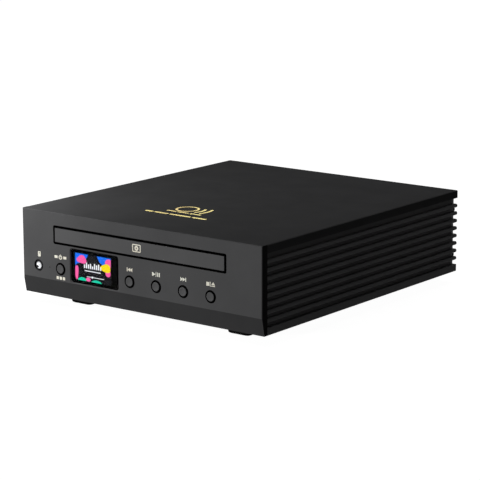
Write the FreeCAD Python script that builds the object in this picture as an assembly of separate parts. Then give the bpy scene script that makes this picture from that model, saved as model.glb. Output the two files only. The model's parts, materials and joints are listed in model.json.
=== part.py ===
import FreeCAD, Part
import math
import os

V = FreeCAD.Vector
X, Y, Z = V(1, 0, 0), V(0, 1, 0), V(0, 0, 1)

# A CD transport of half a component's width: a housing of aluminium plates and finned sides, a row of
# buttons and a display in its front, and a tray loader inside.
# Millimetres. While a piece is drawn, x runs to the right from the middle, y runs back from the front
# face, and z runs up from the underside of the body. Each piece moves to the part's origin when it is
# written: the middle of the floor area that the whole object covers.

# Body and its plates
body_height = 54.0
front_thickness = 5.0
cover_thickness = 5.1
base_thickness = 2.5
rear_thickness = 2.5
side_wall = 4.2
loader_side_gap = 3.0
edge_break = 0.4
seam = 0.1
bevel_rise = 10.9
bevel_setback = 2.1
cover_lip = 1.2
tongue_depth = 2.0
tongue_height = 2.0
flange_width = 5.0
flange_thickness = 2.5

# Fins along the sides
fin_count = 8
fin_depth = 2.8
fin_thickness = 2.3
fin_pitch = 5.01
fin_bevel = 0.6
first_fin_height = 8.64
lower_band = 4.5

# Vent slots in the base
vent_count = 6
vent_length = 44.0
vent_width = 2.4
vent_pitch = 7.0

# Feet
foot_height = 7.0
foot_size = 16.6
foot_corner = 1.8
foot_bevel = 1.8
foot_from_side = 31.5
foot_from_front = 25.8

# Tray slot and door in the front face
slot_beside_tray = 3.05
slot_low = 34.1
slot_high = 46.0
slot_corner = 1.2
door_gap_side = 1.05
door_gap_above = 1.3
door_corner = 0.8
door_thickness = 3.0
door_proud = 0.25

# Display window and what lies behind it
window_from_side = 59.25
window_z = 22.3
window_width = 38.7
window_height = 21.2
window_corner = 1.8
window_bevel = 0.5
window_skin = 1.5
pocket_margin_x = 2.0
pocket_margin_z = 0.3
glass_gap = 0.1
glass_setback = 0.3
glass_flange = 1.0
module_thickness = 2.8

# Controls in a row under the slot
control_height = 18.7
power_from_side = 31.6
first_key_from_side = 87.8
last_key_from_side = 37.8
button_radius = 3.25
button_gap = 0.75
button_proud = 1.0
button_flange_size = 9.4
button_flange = 1.0
button_stem_size = 3.0
button_travel = 0.5
press_margin = 0.1
remote_from_side = 13.1
remote_radius = 3.6
remote_gap = 0.1
remote_proud = 0.3
status_from_side = 22.3
status_radius = 0.5
status_gap = 0.1
status_flange_radius = 1.5

# Front board on bosses behind the panel
board_thickness = 1.6
front_board_gap = 6.5
front_board_side_gap = 2.0
front_board_edge = 3.5
front_board_low = 5.5
front_board_high = 26.0
boss_radius = 2.5
boss_low_height = 9.0
boss_high_height = 23.0
boss_left_from_side = 24.0
boss_middle_from_side = 85.0
boss_right_from_side = 30.5
switch_size = 6.0
switch_height = 3.2
plunger_radius = 1.7
receiver_size = 6.0
receiver_depth = 4.0

# Flat sides of the round forms that are drawn as prisms: hidden cans, discs and collars, and the screws
screw_sides = 6
pin_sides = 12
can_sides = 16
disc_sides = 24
recess_sides = 48

# Screws
panel_screw_radius = 1.4
panel_screw_head = 2.7
panel_screw_head_height = 1.6
panel_screw_length = 6.0
wide_head = 3.7
hole_slack = 0.1
bracket_leg = 12.0
bracket_thickness = 2.0
bracket_height = 9.0

# Disc tray
disc_radius = 60.0
disc_clearance = 4.0
recess_from_front = 3.5
recess_from_side = 3.5
recess_slack = 0.5
recess_flare = 1.0
small_recess_radius = 40.5
tray_front_wall = 2.0
rack_run_out = 4.0
rim_top = 42.4
rim_thickness = 1.8
recess_floor = 39.2
small_recess_step = 0.8
tray_floor = 1.4
tray_wall = 1.6
tray_hub_radius = 19.0
tray_slot_half = 15.5
finger_notch_radius = 8.0
tray_skirt = 2.0

# Tray rack and the gear train that drives it
rack_from_side = 7.5
rack_low = 34.5
rack_module = 1.5
rack_back = 2.5
pressure_angle = 20.0
tooth_slack = 0.16
mesh_slack = 0.1
drive_teeth = 10
drive_depth = 20.0
gear_width = 2.6
gear_gap = 0.7
train_module = 0.9
wheel_teeth = 28
pinion_teeth = 12
train_angle = 166.0
post_radius = 1.5
post_shoulder = 2.5
running_gap = 0.05
pulley_radius = 14.8
pulley_groove_radius = 13.0
motor_pulley_radius = 4.0
motor_groove_radius = 2.5
belt_thickness = 1.4
belt_gap = 0.1
flange_rim = 0.7
belt_centres = 38.0
motor_radius = 12.2
motor_height = 12.3
motor_shaft_radius = 1.0

# Loader frame
rail_front = 8.0
rail_gap = 0.3
rail_lip = 1.8
rail_thickness = 4.7
rail_top = 44.2
ledge_height = 1.8
frame_wall = 4.0
frame_low = 20.0
frame_behind_hinge = 8.0
deck_front = 15.0
deck_rear = 41.5
deck_low = 24.5
deck_thickness = 2.0
web_thickness = 2.0
shelf_under_hinge = 16.3
shelf_thickness = 2.0
rear_wall_height = 33.5
rear_wall_thickness = 2.5
ear_reach = 14.0
ear_length = 15.0
ear_thickness = 2.5
ear_front = 32.0
ear_from_frame_rear = 14.0
damper_neck_radius = 4.0
damper_flange_radius = 5.5
damper_flange = 1.5
standoff_radius = 3.2

# Clamp over the disc
bridge_half_depth = 16.0
bridge_low = 44.9
bridge_thickness = 1.2
bridge_rib = 1.6
bridge_hole_gap = 0.5
puck_radius = 15.0
puck_low = 43.6
puck_rim = 0.8
puck_hub_radius = 10.0
puck_recess_radius = 8.2
puck_recess_depth = 1.6
cap_radius = 13.4
cap_thickness = 1.2
cap_nub_radius = 1.5
cap_nub_height = 0.6

# Traverse, level in its raised position and hinged at its rear
drop_angle = 5.0
hinge_behind_rods = 2.5
hinge_height = 30.0
pivot_radius = 2.0
pivot_length = 5.0
bearing_width = 3.0
bearing_gap = 2.5
bearing_wall = 2.0
traverse_half_width = 46.0
cam_to_traverse = 1.7
traverse_rear_reach = 3.0
traverse_top = 35.0
traverse_plate = 2.0
traverse_skirt = 11.0
traverse_wall = 2.0
spindle_hole_radius = 7.0
spindle_motor_radius = 12.0
spindle_motor_height = 8.0
spindle_radius = 1.0
disc_seat = 42.8
turntable_radius = 14.5
turntable_rim = 1.6
turntable_hub_radius = 6.0
turntable_low = 36.0
cone_radius = 7.4
cone_height = 1.8
cone_bevel = 1.0

# Pickup sled on two rods, with its rack, gear and motor
rod_radius = 1.5
rod_x = 23.0
rod_height = 31.0
rod_from_spindle = 7.0
rod_length = 69.0
rod_seat_depth = 3.5
rod_seat_wall = 1.4
sled_gap = 0.06
window_half = 26.5
inner_radius = 24.0
pickup_travel = 34.0
sled_front = 11.0
sled_rear = 13.0
sled_half_width = 19.5
sled_under_rod = 2.4
sled_top = 36.0
sled_head_half = 12.0
sled_head_top = 38.2
bearing_outer = 26.0
sled_over_rod = 2.3
fork_half = 4.0
sled_rack_module = 0.75
sled_rack_x = 27.5
sled_rack_low = 25.4
sled_rack_width = 2.0
sled_gear_y = 38.0
sled_pinion_teeth = 10
sled_wheel_teeth = 24
sled_small_teeth = 12
sled_motor_x = 4.0
sled_motor_radius = 7.0
sled_motor_gap = 0.6
lens_holder_width = 11.0
lens_holder_depth = 11.0
lens_holder_low = 33.8
lens_holder_top = 39.6
lens_pocket_gap = 2.0
lens_pocket_floor = 33.0
lens_radius = 2.6
lens_top = 41.2

# Cam slider that lifts the traverse
cam_gap = 0.3
cam_thickness = 2.5
cam_half_length = 38.0
cam_over_pin = 3.0
cam_travel = 20.0
cam_pin_radius = 1.5
cam_slot_slack = 0.35
cam_foot = 3.0
cam_lip = 1.0
cam_lip_height = 1.2

# Main board, its sockets and the ribbon
main_board_side_gap = 7.0
main_board_depth = 41.0
main_board_front_gap = 4.0
main_board_rear_gap = 5.5
standoff_height = 5.0
board_inset = 4.0
snap_radius = 1.4
snap_height = 1.2
chip_count = 3
chip_size = 11.0
chip_height = 1.4
chip_first_x = -14.0
chip_pitch = 25.0
chip_depth = 16.0
capacitor_x = 57.0
capacitor_pitch = 10.0
capacitor_radius = 4.0
capacitor_height = 11.0
port_depth = 11.0
socket_proud = 0.5
socket_gap = 0.15
tongue_setback = 1.5
power_socket_x = -66.0
usb_c_x = -44.0
usb_a_x = -22.0
i2s_x = 4.0
optical_x = 32.0
coaxial_x = 60.0
socket_sizes = {
    power_socket_x: (9.0, 11.0),
    usb_c_x: (8.9, 3.2),
    usb_a_x: (13.1, 5.7),
    i2s_x: (15.0, 6.0),
    optical_x: (10.0, 10.4),
}
power_mouth_radius = 2.9
power_pin_radius = 1.05
shutter_setback = 0.4
shutter_gap = 0.3
shutter_thickness = 0.8
shutter_pin_radius = 0.3
shutter_pin_length = 0.5
coaxial_block = 10.0
coaxial_rise = 7.0
coaxial_collar = 5.2
coaxial_proud = 8.0
coaxial_radius = 4.15
coaxial_bore_radius = 1.65
ribbon_width = 14.0
ribbon_thickness = 0.3
ribbon_x = -40.0
ribbon_top = 8.5
ribbon_turn = 2.0
ribbon_socket_width = 18.0
ribbon_socket_depth = 3.0

# Places that follow from the sizes above
recess_radius = disc_radius + recess_slack
flare_radius = recess_radius + recess_flare
disc_centre = door_thickness + tray_front_wall + recess_from_front + flare_radius
tray_travel = disc_centre + disc_radius + disc_clearance
tray_half_width = flare_radius + recess_from_side
slot_width = 2 * (tray_half_width + slot_beside_tray)
rail_half = tray_half_width + rail_gap
rail_outer = rail_half + rail_thickness
inner_half = rail_outer + ear_reach + loader_side_gap
root_half = inner_half + side_wall
half_width = root_half + fin_depth
body_width = 2 * half_width
window_x = window_from_side - half_width
power_x = power_from_side - half_width
first_key_x = first_key_from_side - half_width
last_key_x = half_width - last_key_from_side
remote_x = remote_from_side - half_width
status_x = status_from_side - half_width
boss_left_x = boss_left_from_side - half_width
boss_middle_x = boss_middle_from_side - half_width
boss_right_x = half_width - boss_right_from_side
hinge_depth = disc_centre + rod_from_spindle + rod_length + rod_seat_depth + hinge_behind_rods
frame_rear = hinge_depth + frame_behind_hinge
ear_rear = frame_rear - ear_from_frame_rear
main_board_front = frame_rear + main_board_front_gap
main_board_rear = main_board_front + main_board_depth
rear_face = main_board_rear + main_board_rear_gap
body_depth = rear_face + rear_thickness
foot_from_middle = half_width - foot_from_side
side_height = body_height - cover_thickness
bracket_heights = [
    base_thickness + flange_thickness + bracket_height / 2,
    side_height - flange_thickness - bracket_height / 2,
]
slot_middle = (slot_low + slot_high) / 2
rim_low = rim_top - rim_thickness
tray_rear = drive_depth + tray_travel + rack_run_out
rack_x = tray_half_width - rack_from_side
tray_low = recess_floor - small_recess_step - tray_floor
tray_side = rack_x + 1.25 * rack_module + rack_back
board_front = front_thickness + front_board_gap
board_back = board_front + board_thickness
key_names = ["previous", "play", "next", "eject"]
key_pitch = (last_key_x - first_key_x) / (len(key_names) - 1)
button_places = [power_x] + [first_key_x + i * key_pitch for i in range(len(key_names))]
boss_places = [
    (boss_left_x, boss_low_height),
    (boss_middle_x, boss_low_height),
    (boss_right_x, boss_low_height),
    (boss_right_x, boss_high_height),
]
drive_radius = drive_teeth * rack_module / 2
drive_x = rack_x - drive_radius - mesh_slack
deck_top = deck_low + deck_thickness
pulley_low = deck_top + gear_gap
wheel_low = pulley_low + gear_width + gear_gap
drive_low = wheel_low + gear_width + gear_gap
train_centres = (wheel_teeth + pinion_teeth) * train_module / 2 + mesh_slack
pulley_x = drive_x + train_centres * math.cos(math.radians(train_angle))
pulley_y = drive_depth + train_centres * math.sin(math.radians(train_angle))
motor_x = pulley_x - belt_centres
motor_y = pulley_y + 3.0
web_front = deck_rear
cam_front = web_front + web_thickness + cam_gap
shelf_low = hinge_height - shelf_under_hinge
cam_low = shelf_low + shelf_thickness
cam_top = hinge_height + cam_over_pin
hinge = V(0, hinge_depth, hinge_height)
traverse_front = cam_front + cam_thickness + cam_to_traverse
traverse_rear = hinge_depth + traverse_rear_reach
skirt_low = traverse_top - traverse_skirt
plate_low = traverse_top - traverse_plate
sled_small_radius = sled_small_teeth * sled_rack_module / 2
sled_gear_x = sled_rack_x + sled_small_radius + mesh_slack
sled_wheel_low = sled_rack_low - gear_gap / 2 - sled_rack_width
sled_mesh = (sled_wheel_teeth + sled_pinion_teeth) * sled_rack_module / 2 + mesh_slack
sled_motor_y = math.sqrt(sled_mesh**2 - sled_motor_x**2)
sled_low = rod_height - sled_under_rod
bearing_top = rod_height + sled_over_rod
main_board_half_width = inner_half - main_board_side_gap
main_board_low = base_thickness + standoff_height
socket_floor = main_board_low + board_thickness
coaxial_height = socket_floor + coaxial_rise
coaxial_tip = body_depth + coaxial_proud
origin = V(0, -(coaxial_tip - button_proud) / 2, foot_height)


def span(middle, width):
    """Limits of a width about its middle."""
    return middle - width / 2, middle + width / 2


def block(x, y, z):
    """Box between two limits along each axis."""
    return Part.makeBox(x[1] - x[0], y[1] - y[0], z[1] - z[0], V(x[0], y[0], z[0]))


def upright(radius, x, y, z):
    """Cylinder standing between two heights."""
    return Part.makeCylinder(radius, z[1] - z[0], V(x, y, z[0]))


def lying(radius, x, z, y):
    """Cylinder that runs back between two depths."""
    return Part.makeCylinder(radius, y[1] - y[0], V(x, y[0], z), Y)


def outline(start, steps):
    """Face inside a closed line: a step is the next corner, or a point on an arc and the arc's end."""
    edges = []
    here = start
    for step in steps + [start]:
        if isinstance(step, tuple):
            edges.append(Part.Arc(here, step[0], step[1]).toShape())
            here = step[1]
        else:
            edges.append(Part.makeLine(here, step))
            here = step
    return Part.Face(Part.Wire(edges))


def prism(sides, radius, place, axis, length):
    """Regular prism that starts at a place and runs along an axis."""
    across = X if axis != X else Y
    other = axis.cross(across)
    angles = [2 * math.pi * (i + 0.5) / sides for i in range(sides)]
    corners = [place + across * (radius * math.cos(a)) + other * (radius * math.sin(a)) for a in angles]
    return outline(corners[0], corners[1:]).extrude(axis * length)


def stepped(sides, place, axis, steps):
    """Prisms of given (radius, start, end) along one axis, joined."""
    parts = [prism(sides, radius, place + axis * start, axis, end - start) for radius, start, end in steps]
    return joined(parts)


def shaft(radius, place, axis, length):
    """Round pin on which something turns."""
    return Part.makeCylinder(radius, length, place, axis)


def bore(sides, radius, place, axis, length):
    """Hole with flat sides that clears a round pin of a given radius."""
    return prism(sides, radius / math.cos(math.pi / sides), place, axis, length)


def screw(place, axis, radius, head_radius, head_height, length):
    """Screw whose head rests at a place and whose shank runs along the axis."""
    return stepped(screw_sides, place, axis, [(head_radius, -head_height, 0), (radius, 0, length)])


def panel_screw(place, axis):
    head = (panel_screw_head, panel_screw_head_height)
    return screw(place, axis, panel_screw_radius, *head, panel_screw_length)


def screw_hole(place, axis, radius, length):
    """Hole for a screw, with its slack, that starts at a place."""
    return prism(screw_sides, radius + hole_slack, place, axis, length)


def lines_along(shape, axis):
    """Straight edges of a shape that run along an axis."""
    return [e for e in shape.Edges if abs(e.tangentAt(e.FirstParameter).dot(axis)) > 0.999]


def rounded(shape, radius, axis):
    """The shape with its straight edges along one axis rounded."""
    return shape.makeFillet(radius, lines_along(shape, axis))


def edges_where(shape, test):
    """Edges whose ends all pass a test."""
    return [e for e in shape.Edges if all(test(v.Point) for v in e.Vertexes)]


def joined(shapes):
    """One solid from pieces that touch."""
    return shapes[0].fuse(shapes[1:]).removeSplitter()


def mirrored(shape):
    """The same piece on the other side of the middle."""
    return shape.mirror(V(), X)


def both_sides(shape):
    return [shape, mirrored(shape)]


def lowered(shape):
    """A piece of the traverse, drawn level, in the lowered position where it rests."""
    return shape.rotated(hinge, X, drop_angle)


def stadium(first, second, radius, thickness):
    """Slot with round ends between two points, given as (x, y, z) in a plane across the depth."""
    along = (second - first).normalize()
    aside = V(along.z, 0, -along.x) * radius
    tip = along * radius
    steps = [(first - tip, first - aside), second - aside, (second + tip, second + aside)]
    return outline(first + aside, steps).extrude(Y * thickness)


def involute_half_angle(distance, teeth, module, slack):
    """Half the angle that a tooth covers at a distance from its gear's centre."""
    pitch = teeth * module / 2
    base = pitch * math.cos(math.radians(pressure_angle))
    here = math.acos(min(1.0, base / distance))
    there = math.radians(pressure_angle)
    at_pitch = math.pi / (2 * teeth) - slack / (2 * pitch)
    return at_pitch + (math.tan(there) - there) - (math.tan(here) - here)


def gear(teeth, module, x, y, z, phase):
    """Spur gear between two heights, with the middle of one tooth at the phase angle in degrees."""
    pitch = teeth * module / 2
    tip = pitch + module
    root = pitch - 1.25 * module
    root_half = involute_half_angle(max(root, 0.94 * pitch), teeth, module, tooth_slack)
    tip_half = involute_half_angle(tip, teeth, module, tooth_slack)
    corners = []
    for i in range(teeth):
        middle = math.radians(phase) + 2 * math.pi * i / teeth
        for distance, turn in ((root, -root_half), (tip, -tip_half), (tip, tip_half), (root, root_half)):
            angle = middle + turn
            corners.append(V(x + distance * math.cos(angle), y + distance * math.sin(angle), z[0]))
    return outline(corners[0], corners[1:]).extrude(Z * (z[1] - z[0]))


def rack(module, x, towards, first, last, gap_at, back, z):
    """Rack along the depth whose teeth point to one side, with the middle of a gap at a given depth."""
    pitch = math.pi * module
    slope = math.tan(math.radians(pressure_angle))
    tip_half = pitch / 4 - module * slope - tooth_slack / 2
    root_half_width = pitch / 4 + 1.25 * module * slope - tooth_slack / 2
    tip = x + towards * module
    root = x - towards * 1.25 * module
    corners = [V(x - towards * back, first, z[0]), V(root, first, z[0])]
    teeth = range(math.ceil((first - gap_at) / pitch), math.floor((last - gap_at) / pitch))
    for i in teeth:
        middle = gap_at + (i + 0.5) * pitch
        corners.append(V(root, middle - root_half_width, z[0]))
        corners.append(V(tip, middle - tip_half, z[0]))
        corners.append(V(tip, middle + tip_half, z[0]))
        corners.append(V(root, middle + root_half_width, z[0]))
    corners.append(V(root, last, z[0]))
    corners.append(V(x - towards * back, last, z[0]))
    return outline(corners[0], corners[1:]).extrude(Z * (z[1] - z[0]))


# Housing


def front_panel():
    """Thick plate with a bevelled lower edge, the tray slot, the window, holes and board bosses."""
    section = [
        V(-half_width, bevel_setback, 0),
        V(-half_width, 0, bevel_rise),
        V(-half_width, 0, body_height - edge_break),
        V(-half_width, edge_break, body_height),
        V(-half_width, front_thickness, body_height),
        V(-half_width, front_thickness, 0),
    ]
    plate = outline(section[0], section[1:]).extrude(X * body_width)
    plate = plate.makeChamfer(edge_break, [e for e in lines_along(plate, Z) if e.CenterOfMass.y < seam])
    boss = [(boss_radius, front_thickness, board_front), (snap_radius, board_front, board_back + snap_height)]
    bosses = [stepped(screw_sides, V(x, 0, z), Y, boss) for x, z in boss_places]
    through = (-1.0, front_thickness + 1.0)
    pinhole = V(status_x, through[0], control_height)
    cuts = [
        rounded(block(span(0, slot_width), through, (slot_low, slot_high)), slot_corner, Y),
        rounded(block(window_across(0), through, window_up(0)), window_corner, Y),
        block(window_across(pocket_margin_x), (window_skin, front_thickness), window_up(pocket_margin_z)),
        lying(remote_radius + remote_gap, remote_x, control_height, through),
        bore(pin_sides, status_radius + status_gap, pinhole, Y, through[1] - through[0]),
        block(
            span(0, 2 * inner_half + 2 * seam),
            (front_thickness - tongue_depth - seam, front_thickness),
            span(side_height + cover_thickness / 2, tongue_height + 2 * seam),
        ),
    ]
    for x in button_places:
        cuts.append(lying(button_radius + button_gap, x, control_height, through))
    panel = plate.fuse(bosses).cut(cuts).removeSplitter()
    return panel.makeChamfer(window_bevel, edges_where(panel, at_window))


def at_window(point):
    """Whether a point of the panel's face lies on the edge of the window."""
    beside = abs(point.x - window_x) < window_width / 2 + seam
    return abs(point.y) < 1e-6 and beside and abs(point.z - window_z) < window_height / 2 + seam


def window_across(margin):
    """Limits of the window in x, wider by a margin at both sides."""
    return span(window_x, window_width + 2 * margin)


def window_up(margin):
    """Limits of the window in z, wider by a margin above and below."""
    return span(window_z, window_height + 2 * margin)


def top_cover():
    """Plate over the sides, with a tongue into the front panel and a rebate over the rear panel."""
    plate = block(span(0, body_width), (front_thickness, body_depth), (side_height, body_height))
    rims = edges_where(plate, lambda p: p.z > side_height + seam)
    rims = [e for e in rims if e.CenterOfMass.y > front_thickness + seam]
    plate = plate.makeChamfer(edge_break, rims)
    tongue = block(
        span(0, 2 * inner_half),
        (front_thickness - tongue_depth, front_thickness),
        span(side_height + cover_thickness / 2, tongue_height),
    )
    rebate = block(
        span(0, 2 * root_half), (rear_face, body_depth), (side_height, body_height - cover_lip)
    )
    cuts = [rebate]
    for x, z in cover_screws():
        cuts.append(screw_hole(V(x, rear_face, z), -Y, panel_screw_radius, panel_screw_length))
    return plate.fuse(tongue).cut(cuts).removeSplitter()


def cover_screws():
    """Places of the rear panel's screws into the edge of the cover."""
    height = side_height + (cover_thickness - cover_lip) / 2
    return [(-body_width / 4, height), (body_width / 4, height)]


def side_screws():
    """Places of the rear panel's screws into the ends of the side panels."""
    x = (inner_half + root_half) / 2
    heights = [body_height * share for share in (0.2, 0.76)]
    return [(side * x, z) for side in (-1, 1) for z in heights]


def side_panel():
    """Right side: a wall with lengthwise fins outside and two flanges inside."""
    def at(x, z):
        return V(x, front_thickness, z)

    tip = half_width - fin_bevel
    steps = [at(half_width, 0), at(half_width, lower_band), at(root_half, lower_band)]
    for i in range(fin_count):
        low, high = span(first_fin_height + i * fin_pitch, fin_thickness)
        steps += [at(root_half, low), at(tip, low), at(half_width, low + fin_bevel)]
        steps += [at(half_width, high - fin_bevel), at(tip, high), at(root_half, high)]
    shelf = base_thickness + flange_thickness
    flange_inner = inner_half - flange_width
    steps += [
        at(root_half, side_height),
        at(flange_inner, side_height),
        at(flange_inner, side_height - flange_thickness),
        at(inner_half, side_height - flange_thickness),
        at(inner_half, shelf),
        at(flange_inner, shelf),
        at(flange_inner, base_thickness),
        at(inner_half, base_thickness),
    ]
    panel = outline(at(inner_half, 0), steps).extrude(Y * (body_depth - front_thickness))
    cuts = [block((flange_inner - 1.0, root_half), (rear_face, body_depth + 1.0), (-1.0, body_height))]
    for x, z in side_screws():
        cuts.append(screw_hole(V(x, rear_face, z), -Y, panel_screw_radius, panel_screw_length))
    for x, y in base_screws():
        cuts.append(screw_hole(V(x, y, base_thickness), Z, panel_screw_radius, flange_thickness))
    return panel.cut(cuts).removeSplitter()


def base_screws():
    """Places of the screws that hold the base to the flanges of the sides."""
    x = inner_half - flange_width / 2
    depths = [body_depth * share for share in (0.2, 0.8)]
    return [(side * x, y) for side in (-1, 1) for y in depths]


def foot_places():
    rear = body_depth - foot_from_front
    return {
        "front_left": (-foot_from_middle, foot_from_front),
        "front_right": (foot_from_middle, foot_from_front),
        "rear_left": (-foot_from_middle, rear),
        "rear_right": (foot_from_middle, rear),
    }


def bottom_plate():
    """Flat base with vent slots and the holes of its screws."""
    plate = block(span(0, 2 * (inner_half - seam)), (front_thickness, rear_face), (0, base_thickness))
    cuts = []
    for i in range(vent_count):
        y = body_depth / 2 + (i - (vent_count - 1) / 2) * vent_pitch
        cuts.append(block(span(0, vent_length), span(y, vent_width), (-1.0, base_thickness + 1.0)))
    for x, y in base_screws():
        cuts.append(screw_hole(V(x, y, 0), Z, panel_screw_radius, base_thickness))
    return plate.cut(cuts).removeSplitter()


def rear_panel():
    """Flat plate between the fins and under the cover's lip, cut out for each socket."""
    top = body_height - cover_lip - seam
    panel = block(span(0, 2 * (root_half - seam)), (rear_face, body_depth), (0, top))
    place = V(coaxial_x, rear_face, coaxial_height)
    cuts = [bore(disc_sides, coaxial_collar + seam, place, Y, rear_thickness)]
    for x, (width, height) in socket_sizes.items():
        across = span(x, width + 2 * socket_gap)
        up = span(socket_floor + height / 2, height + 2 * socket_gap)
        cuts.append(block(across, (rear_face, body_depth), up))
    for x, z in side_screws() + cover_screws():
        cuts.append(screw_hole(V(x, rear_face, z), Y, panel_screw_radius, rear_thickness))
    return panel.cut(cuts).removeSplitter()


def corner_brackets():
    """Four angles between the front panel and the sides."""
    brackets = []
    for z in bracket_heights:
        across = (inner_half - bracket_leg, inner_half)
        wall = (inner_half - bracket_thickness, inner_half)
        depth = (front_thickness, front_thickness + bracket_leg)
        angle = joined(
            [
                block(across, (depth[0], depth[0] + bracket_thickness), span(z, bracket_height)),
                block(wall, depth, span(z, bracket_height)),
            ]
        )
        brackets += both_sides(angle)
    return Part.makeCompound(brackets)


def panel_screws():
    """Screws of the rear panel and the base."""
    screws = [panel_screw(V(x, body_depth, z), -Y) for x, z in side_screws() + cover_screws()]
    screws += [panel_screw(V(x, y, 0), Z) for x, y in base_screws()]
    return Part.makeCompound(screws)


def foot(x, y):
    """Square foot with bevelled corners and a bevelled sole, glued to the base."""
    pad = block(span(x, foot_size), span(y, foot_size), (-foot_height, 0))
    pad = pad.makeChamfer(foot_corner, lines_along(pad, Z))
    return pad.makeChamfer(foot_bevel, edges_where(pad, lambda p: abs(p.z + foot_height) < 1e-6))


# Front controls


def display_glass():
    """Glass that fills the window and rests on its skin from behind."""
    face = block(window_across(-glass_gap), (glass_setback, window_skin), window_up(-glass_gap))
    depth = (window_skin, window_skin + glass_flange)
    flange = block(window_across(pocket_margin_x - glass_gap), depth, window_up(pocket_margin_z - glass_gap))
    return joined([rounded(face, window_corner, Y), flange])


def display_module():
    """Display panel flat against the glass, and its tail to the board."""
    front = window_skin + glass_flange
    back = front + module_thickness
    up = window_up(pocket_margin_z - glass_gap)
    panel = block(window_across(pocket_margin_x - glass_gap), (front, back), up)
    tail = block(span(window_x, window_width / 3), (back, board_front), (up[0], up[0] + ribbon_thickness))
    return joined([panel, tail])


def ir_window():
    """Round window of the remote eye, with a square flange behind the panel."""
    back = front_thickness + button_flange
    eye = lying(remote_radius, remote_x, control_height, (-remote_proud, front_thickness))
    size = button_flange_size
    return joined([eye, block(span(remote_x, size), (front_thickness, back), span(control_height, size))])


def ir_receiver():
    """Receiver block on the board with its eye towards the window."""
    front = board_front - receiver_depth
    body = block(span(remote_x, receiver_size), (front, board_front), span(control_height, receiver_size))
    gap = front - front_thickness - button_flange
    return joined([body, prism(pin_sides, receiver_size / 3, V(remote_x, front, control_height), -Y, gap)])


def status_light():
    """Light pipe from the lamp on the board to the pinhole in the panel."""
    steps = [(status_radius, 0, front_thickness), (status_flange_radius, front_thickness, board_front)]
    return stepped(pin_sides, V(status_x, 0, control_height), Y, steps)


def button(x):
    """Round cap with a square flange behind the panel and a stem towards its switch."""
    back = front_thickness + button_flange
    stem_end = board_front - switch_height - plunger_height() - button_travel - press_margin
    cap = lying(button_radius, x, control_height, (-button_proud, front_thickness))
    size = button_flange_size
    flange = block(span(x, size), (front_thickness, back), span(control_height, size))
    stem = block(span(x, button_stem_size), (back, stem_end), span(control_height, button_stem_size))
    return joined([cap, flange, stem])


def plunger_height():
    """How far a pressed switch plunger stands out of its housing."""
    return button_travel + press_margin


def tact_switches():
    """One switch for each button, drawn with its plunger pressed."""
    switches = []
    front = board_front - switch_height
    for x in button_places:
        body = block(span(x, switch_size), (front, board_front), span(control_height, switch_size))
        plunger = prism(screw_sides, plunger_radius, V(x, front, control_height), -Y, plunger_height())
        switches.append(joined([body, plunger]))
    return Part.makeCompound(switches)


def front_board():
    """Board on the panel's bosses, with the ribbon's socket behind it."""
    width = (front_board_side_gap - inner_half, boss_right_x + front_board_edge)
    board = block(width, (board_front, board_back), (front_board_low, front_board_high))
    depth = (board_back, board_back + ribbon_socket_depth)
    height = (ribbon_top, ribbon_top + ribbon_socket_depth)
    socket = block(span(ribbon_x, ribbon_socket_width), depth, height)
    holes = [snap_hole(V(x, board_front, z), Y) for x, z in boss_places]
    return joined([board, socket]).cut(holes)


# Tray and its drive


def tray_door():
    """Front of the tray, flush in the slot."""
    width = slot_width - 2 * door_gap_side
    height = slot_high - slot_low - 2 * door_gap_above
    door = block(span(0, width), (-door_proud, door_thickness), span(slot_middle, height))
    return rounded(door, door_corner, Y)


def disc_tray():
    """Tray with recesses for two disc sizes, a slot for the pickup, and a rack along its right side."""
    back = door_thickness + tray_front_wall
    body_rear = disc_centre + flare_radius + tray_wall
    solids = [
        block(span(0, 2 * tray_half_width), (door_thickness, tray_rear), (rim_low, rim_top)),
        block(span(0, 2 * tray_half_width), (door_thickness, back), (tray_low, rim_low)),
        block(span(0, 2 * tray_side), (back, body_rear), (tray_low, rim_low)),
        block((-tray_side, tray_skirt - tray_side), (body_rear, tray_rear), (tray_low, rim_low)),
        tray_rack(),
    ]
    middle = V(0, disc_centre, recess_floor)
    cuts = [
        Part.makeCone(recess_radius, flare_radius, rim_top - recess_floor, middle),
        prism(recess_sides, small_recess_radius, middle, -Z, small_recess_step),
        prism(disc_sides, tray_hub_radius, middle, -Z, recess_floor - tray_low),
        block(span(0, 2 * tray_slot_half), (disc_centre, tray_rear), (tray_low, rim_low)),
    ]
    notch = recess_radius / math.sqrt(2)
    for x in (-notch, notch):
        cuts.append(upright(finger_notch_radius, x, disc_centre - notch, (tray_low, rim_top)))
    return joined(solids).cut(cuts).removeSplitter()


def tray_rack():
    """Rack under the tray's right side, with the web that carries it."""
    first = drive_depth - 2 * rack_module * math.pi
    back = tray_side - rack_x
    return rack(rack_module, rack_x, -1, first, tray_rear, drive_depth, back, (rack_low, rim_low))


def tray_gear():
    """Double gear: its narrow upper stage drives the rack, its wide lower stage is driven."""
    middle = wheel_low + gear_width
    top = drive_low + gear_width
    wheel = gear(wheel_teeth, train_module, drive_x, drive_depth, (wheel_low, middle), train_angle)
    drive = gear(drive_teeth, rack_module, drive_x, drive_depth, (middle, top), 0.0)
    place = V(drive_x, drive_depth, wheel_low)
    hole = bore(pin_sides, post_radius + running_gap, place, Z, top - wheel_low)
    return joined([wheel, drive]).cut(hole)


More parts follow.
